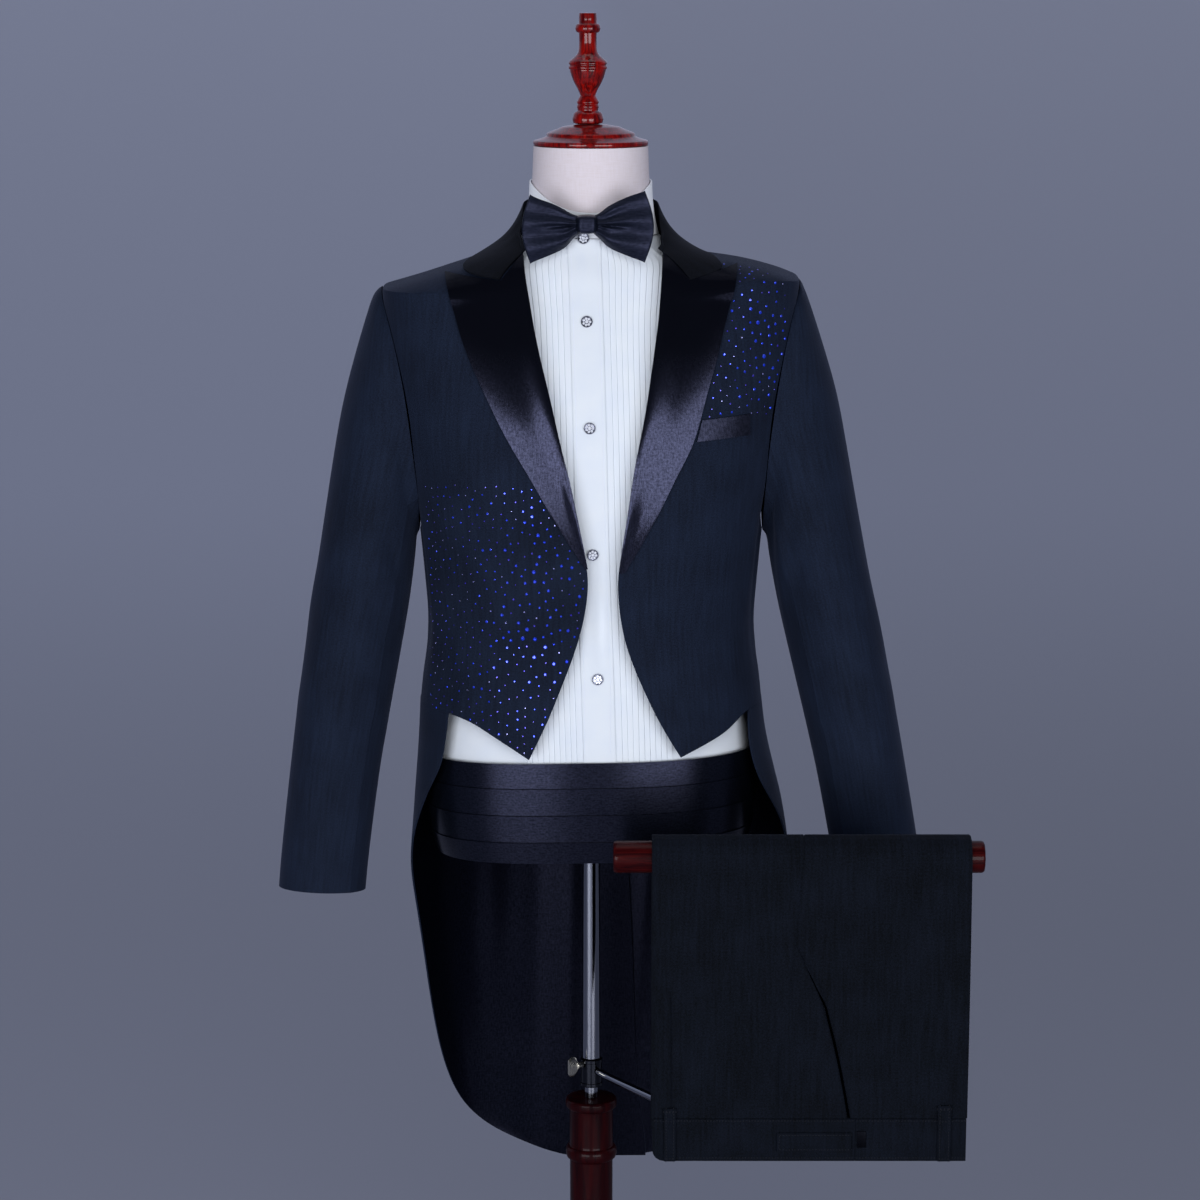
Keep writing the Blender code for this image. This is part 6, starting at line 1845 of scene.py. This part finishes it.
# ---- The stand ------------------------------------------------------------------------------
@dataclass
class Stand:
    """The linen form with its red lacquered wood and chrome."""

    shop: Workshop
    finial_profile: Outline = (
        (0.0020, 1.5818), (0.0153, 1.5818), (0.0165, 1.5870), (0.0150, 1.5930), (0.0108, 1.5956),
        (0.0109, 1.5972), (0.0117, 1.5996), (0.0112, 1.6018), (0.0106, 1.6024), (0.0113, 1.6034),
        (0.0117, 1.6048), (0.0100, 1.6080), (0.0080, 1.6112), (0.0084, 1.6128), (0.0106, 1.6180),
        (0.0143, 1.6243), (0.0171, 1.6309), (0.0189, 1.6372), (0.0189, 1.6384), (0.0201, 1.6390),
        (0.0203, 1.6408), (0.0199, 1.6424), (0.0190, 1.6430), (0.0199, 1.6437), (0.0202, 1.6452),
        (0.0197, 1.6468), (0.0176, 1.6486), (0.0118, 1.6534), (0.0097, 1.6573), (0.0091, 1.6660),
        (0.0092, 1.6750), (0.0094, 1.6762), (0.0120, 1.6770), (0.0131, 1.6795), (0.0131, 1.6828),
        (0.0118, 1.6852), (0.0095, 1.6858), (0.0093, 1.6880), (0.0092, 1.6958), (0.0086, 1.6968),
        (0.0010, 1.6970))
    cap_profile: Outline = (
        (0.0040, 1.5593), (0.0585, 1.5593), (0.0602, 1.5600), (0.0606, 1.5616), (0.0606, 1.5636),
        (0.0598, 1.5648), (0.0520, 1.5668), (0.0470, 1.5690), (0.0466, 1.5700), (0.0464, 1.5716),
        (0.0456, 1.5726), (0.0400, 1.5748), (0.0330, 1.5776), (0.0300, 1.5790), (0.0200, 1.5806),
        (0.0165, 1.5814), (0.0040, 1.5815))
    post_profile: Outline = (
        (0.0060, 0.0263), (0.0396, 0.0263), (0.0402, 0.0290), (0.0400, 0.0335), (0.0375, 0.0355),
        (0.0330, 0.0390), (0.0300, 0.0440), (0.0290, 0.0470), (0.0262, 0.0560), (0.0246, 0.0720),
        (0.0238, 0.0900), (0.0236, 0.2500), (0.0237, 0.4370), (0.0240, 0.4400), (0.0268, 0.4410),
        (0.0281, 0.4445), (0.0284, 0.4480), (0.0278, 0.4518), (0.0262, 0.4545), (0.0242, 0.4552),
        (0.0239, 0.4600), (0.0239, 0.4965), (0.0242, 0.4985), (0.0268, 0.4992), (0.0281, 0.5008),
        (0.0285, 0.5040), (0.0283, 0.5080), (0.0272, 0.5096), (0.0262, 0.5100), (0.0080, 0.5100))
    base_profile: Outline = (
        (0.0100, 0.0), (0.1860, 0.0), (0.1895, 0.0020), (0.1900, 0.0050), (0.1900, 0.0100),
        (0.1888, 0.0130), (0.1840, 0.0165), (0.1780, 0.0176), (0.1000, 0.0212), (0.0560, 0.0258),
        (0.0540, 0.0260), (0.0100, 0.0260))
    finial_x: float = -0.0030
    turned_sides: int = 72
    pole_lower: float = 0.0075  # the two tubes' radii
    pole_upper: float = 0.0100
    tube_edge: float = 0.0004  # and how far their ends are bevelled
    bore: float = 0.0010  # what is turned is closed by a cap of this radius
    clamp_radius: float = 0.0125
    clamp_bore: float = 0.0020
    clamp_edge: tuple[float, float] = (0.0012, 0.0010)  # its bevel, inwards and along
    clamp_waist: tuple[float, float] = (0.0008, 0.0046)  # it is narrower by this, from this far in
    clamp_band: float = 0.0040  # a full band at each end is this wide
    arm_x: float = 0.2115
    arm_z: float = 0.5345
    arm_radius: float = 0.0042
    arm_bend: float = 0.022
    bend_steps: int = 12
    arm_rise: Outline = ((0.030, 0.0068), (0.05, 0.006), (0.15, 0.0035))  # (out, up) on its way
    arm_root: float = 0.008  # it leaves the clamp this much higher than it ends
    seam_gap: float = 0.0003
    bar_radius: float = 0.0165
    bar_z: float = 0.8588
    bar_end: Outline = ((0.0030, 0.0), (0.0006, 0.0012), (0.0, 0.0050))  # (in, along) of its rounded ends
    bar_sides: int = 56

    def make(self) -> None:
        """Make the form, the wood and the chrome."""
        form = rounded_copy(self.shop.nodes["form_torso"], 2, 60.0)
        lay_grain(form, NECK)
        shade(form)
        self.shop.finish(link("linen_form", form), [FORM_LINEN], ("form_torso",), "form")
        for name, profile, node, x, finish in (
                ("turned_finial", self.finial_profile, "finial", self.finial_x, RED_WOOD),
                ("turned_cap", self.cap_profile, "neck_cap", 0.0, RED_WOOD),
                ("turned_post", self.post_profile, "post", 0.0, RED_WOOD_PAINTED_SHADE),
                ("turned_base", self.base_profile, "base", 0.0, RED_WOOD_PAINTED_SHADE)):
            piece = revolve(name, softened(profile), self.turned_sides, x)
            self.shop.finish(piece, [finish], (node,), "turned")
        self.make_poles()
        self.make_arm()
        self.make_screw()
        self.make_bar()

    def make_poles(self) -> None:
        """Make the two tubes of the pole and the clamp between them."""
        for node, radius in (("pole_lower", self.pole_lower), ("pole_upper", self.pole_upper)):
            low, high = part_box(node)
            inner = radius - self.tube_edge
            profile = ((self.bore, low.z), (inner, low.z), (radius, low.z + self.tube_edge),
                       (radius, high.z - self.tube_edge), (inner, high.z), (self.bore, high.z))
            self.shop.finish(revolve("tube_" + node, profile, 64), [CHROME], (node,), "tube")
        low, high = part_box("arm_clamp")
        edge, (inset, bevel) = self.clamp_radius, self.clamp_edge
        slack, waist = self.clamp_waist
        half = ((self.clamp_bore, 0.0), (edge - inset, 0.0), (edge, bevel), (edge, self.clamp_band),
                (edge - slack, waist))
        profile = [(radius, low.z + rise) for radius, rise in half]
        profile += [(radius, high.z - rise) for radius, rise in half[::-1]]
        self.shop.finish(revolve("clamp_collar", profile, 64), [CLAMP_METAL_PAINTED_DARK], ("arm_clamp",), "clamp")

    def make_arm(self) -> None:
        """Make the arm that carries the bar: straight from the clamp, bent up under the bar."""
        corner = Vector((self.arm_x, TROUSER_BAR_Y, self.arm_z))
        run = Vector((self.arm_x, TROUSER_BAR_Y, 0)).normalized()
        places = ((self.clamp_radius + self.seam_gap, self.arm_root), *self.arm_rise)
        path = [run * out + Vector((0, 0, self.arm_z + up)) for out, up in places]
        path.append(corner - run * self.arm_bend * 2)
        for step in range(self.bend_steps + 1):
            turn = math.radians(90 * step / self.bend_steps)
            path.append(corner - run * self.arm_bend * (1 - math.sin(turn))
                        + Vector((0, 0, self.arm_bend * (1 - math.cos(turn)))))
        path.append(Vector((self.arm_x, TROUSER_BAR_Y, self.bar_z - self.bar_radius - self.seam_gap)))
        self.shop.finish(tube("bent_arm", path, self.arm_radius), [CHROME], ("trouser_arm",), "arm")

    def make_screw(self) -> None:
        """Make the wing screw: a shank, a collar and two rounded wings."""
        mesh = rounded_copy(self.shop.nodes["clamp_knob"], 3, 80.0)
        shade(mesh, 60.0)
        self.shop.finish(link("wing_screw", mesh), [SCREW_METAL], ("clamp_knob",), "screw")

    def make_bar(self) -> None:
        """Make the wooden bar with its rounded ends."""
        low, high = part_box("trouser_bar")
        near = [(self.bar_radius - inset, low.x + along) for inset, along in self.bar_end]
        far = [(self.bar_radius - inset, high.x - along) for inset, along in self.bar_end[::-1]]
        profile = [(self.bore, low.x), *near, *far, (self.bore, high.x)]
        bar = revolve("turned_bar", softened(profile), self.bar_sides)
        bar.data.transform(Matrix.Translation((0, TROUSER_BAR_Y, self.bar_z))
                           @ Matrix.Rotation(math.radians(90), 4, "Y"))
        self.shop.finish(bar, [RED_WOOD_BAR], ("trouser_bar",), "bar")


# ---- The studio -----------------------------------------------------------------------------
@dataclass(frozen=True)
class Softbox:
    """A soft light: where it stands, where it looks, its size and its power in watts."""

    name: str
    place: tuple[float, float, float]
    aim: tuple[float, float, float]
    size: tuple[float, float]
    power: float
    colour: str
    mirrored: bool = True  # whether glossy cloth and metal show it


@dataclass
class Studio:
    """A pale floor, soft lights and the camera."""

    floor_half: float = 300.0
    floor_near_painted_shade: tuple[str, str] = ("#7e818f", "#70737f")   # left and right of the stand: painted shade, darker near it
    # painted light: the floor is painted paler far back, and towards the left
    floor_far_painted_light: tuple[str, str] = ("#a0a5b6", "#9296a6")
    floor_depth: tuple[float, float] = (2.0, 8.0)  # the near colours fade to the far ones here
    floor_width: tuple[float, float] = (-1.3, 1.3)  # and the left ones to the right ones here
    floor_dull: float = 0.45
    behind: str = "#b9c0da"      # the room's light beyond the form
    before: str = "#262a35"      # the dark of the studio behind the camera
    room_turn: tuple[float, float] = (-0.15, 0.45)  # one fades to the other between these headings
    room: float = 1.0
    camera_place: tuple[float, float, float] = (0.0097, -3.554, 1.75)
    camera_pitch: float = 10.8
    focal_px: float = 3350.0
    photo_px: float = 1200.0
    sensor_mm: float = 36.0
    lights: tuple[Softbox, ...] = (
        Softbox("left_box", (-1.85, -3.85, 1.05), (0.0, 0.0, 1.05), (2.7, 1.60), 94.0, "#f6f8ff"),
        Softbox("right_box", (1.85, -3.85, 1.05), (0.0, 0.0, 1.05), (2.7, 1.60), 94.0, "#f6f8ff"),
        Softbox("top_box", (0.0, -0.2, 4.2), (0.0, 0.0, 1.0), (2.6, 1.6), 14.0, "#ffffff"),
        Softbox("fill_box", (0.0, -3.4, 2.7), (0.0, 0.0, 1.3), (2.4, 1.0), 34.0, "#ffffff", False),
    )

    def make(self) -> None:
        """Build the studio."""
        bpy.context.scene.view_settings.view_transform = "Standard"
        mesh = bpy.data.meshes.new("studio_floor")
        far = self.floor_half
        mesh.from_pydata([(-far, -far, 0), (far, -far, 0), (far, far, 0), (-far, far, 0)], [], [(0, 1, 2, 3)])
        floor = link("studio_floor", mesh)
        mesh.materials.append(self.paint_floor_light_gradient())
        self.light_room()
        for box in self.lights:
            self.hang(box)
        self.set_camera()

    def light_room(self) -> None:
        """Light the room from beyond the form, and leave it dark behind the camera."""
        scene = bpy.context.scene
        world = scene.world or bpy.data.worlds.new("studio")
        scene.world = world
        world.use_nodes = True
        tree = world.node_tree
        heading = add(tree, "ShaderNodeTexCoord")
        parts = add(tree, "ShaderNodeSeparateXYZ", {"Vector": heading.outputs["Generated"]})
        share = add(tree, "ShaderNodeMapRange", {
            "Value": parts.outputs["Y"], "From Min": self.room_turn[0], "From Max": self.room_turn[1]},
            interpolation_type="SMOOTHSTEP")
        mixed = add(tree, "ShaderNodeMix", {
            MIX_FACTOR: share.outputs["Result"], MIX_A: linear(self.before), MIX_B: linear(self.behind)},
            data_type="RGBA")
        feed(tree.nodes["Background"], {"Color": mixed.outputs[MIX_COLOUR], "Strength": self.room})

    def set_camera(self) -> None:
        """Stand the camera where the photograph was taken from."""
        camera = bpy.data.objects.new("camera", bpy.data.cameras.new("camera"))
        bpy.context.scene.collection.objects.link(camera)
        camera.data.sensor_width = self.sensor_mm
        camera.data.lens = self.focal_px / self.photo_px * self.sensor_mm
        camera.data.clip_end = 1000.0
        camera.location = self.camera_place
        camera.rotation_euler = (math.radians(90 - self.camera_pitch), 0.0, 0.0)
        bpy.context.scene.camera = camera

    def paint_floor_light_gradient(self) -> bpy.types.Material:
        """Paint matt studio paper with painted light: paler further back and towards the left, darker near
        the stand.

        Returns:
            The floor's material.
        """
        paint = bpy.data.materials.new("painted_floor")
        paint.use_nodes = True
        tree = paint.node_tree
        shader = tree.nodes["Principled BSDF"]
        place = add(tree, "ShaderNodeTexCoord").outputs["Object"]
        parts = add(tree, "ShaderNodeSeparateXYZ", {"Vector": place})
        back, right = (add(tree, "ShaderNodeMapRange",
                           {"Value": parts.outputs[axis], "From Min": start, "From Max": end},
                           interpolation_type="SMOOTHSTEP").outputs["Result"]
                       for axis, (start, end) in (("Y", self.floor_depth), ("X", self.floor_width)))
        near, far = (add(tree, "ShaderNodeMix",
                         {MIX_FACTOR: right, MIX_A: linear(left_colour), MIX_B: linear(right_colour)},
                         data_type="RGBA").outputs[MIX_COLOUR]
                     for left_colour, right_colour in (self.floor_near_painted_shade, self.floor_far_painted_light))
        whole = add(tree, "ShaderNodeMix", {MIX_FACTOR: back, MIX_A: near, MIX_B: far}, data_type="RGBA")
        feed(shader, {"Base Color": whole.outputs[MIX_COLOUR], "Roughness": self.floor_dull})
        return paint

    def hang(self, box: Softbox) -> None:
        """Hang one soft light.

        Args:
            box: the light.
        """
        lamp = bpy.data.lights.new(box.name, "AREA")
        lamp.shape = "RECTANGLE"
        lamp.size, lamp.size_y = box.size
        lamp.energy = box.power
        lamp.color = linear(box.colour)[:3]
        item = bpy.data.objects.new(box.name, lamp)
        bpy.context.scene.collection.objects.link(item)
        item.location = box.place
        look = Vector(box.aim) - Vector(box.place)
        item.rotation_euler = look.to_track_quat("-Z", "Y").to_euler()
        item.visible_glossy = box.mirrored


def main() -> None:
    """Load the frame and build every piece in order."""
    logging.basicConfig(level=logging.INFO, format="%(message)s")
    for item in list(bpy.data.objects):
        bpy.data.objects.remove(item)
    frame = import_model()
    shop = Workshop(frame["nodes"])
    needle = Needle(shop)
    Stand(shop).make()
    Shirt(shop, needle).make()
    BowAndSash(shop).make()
    coat = Tailcoat(shop)
    coat.make()
    Crystals(shop, coat.ground).make()
    Trousers(shop, needle).make()
    Studio().make()
    log.info("%d pieces", len(shop.done))


if __name__ == "__main__":
    main()
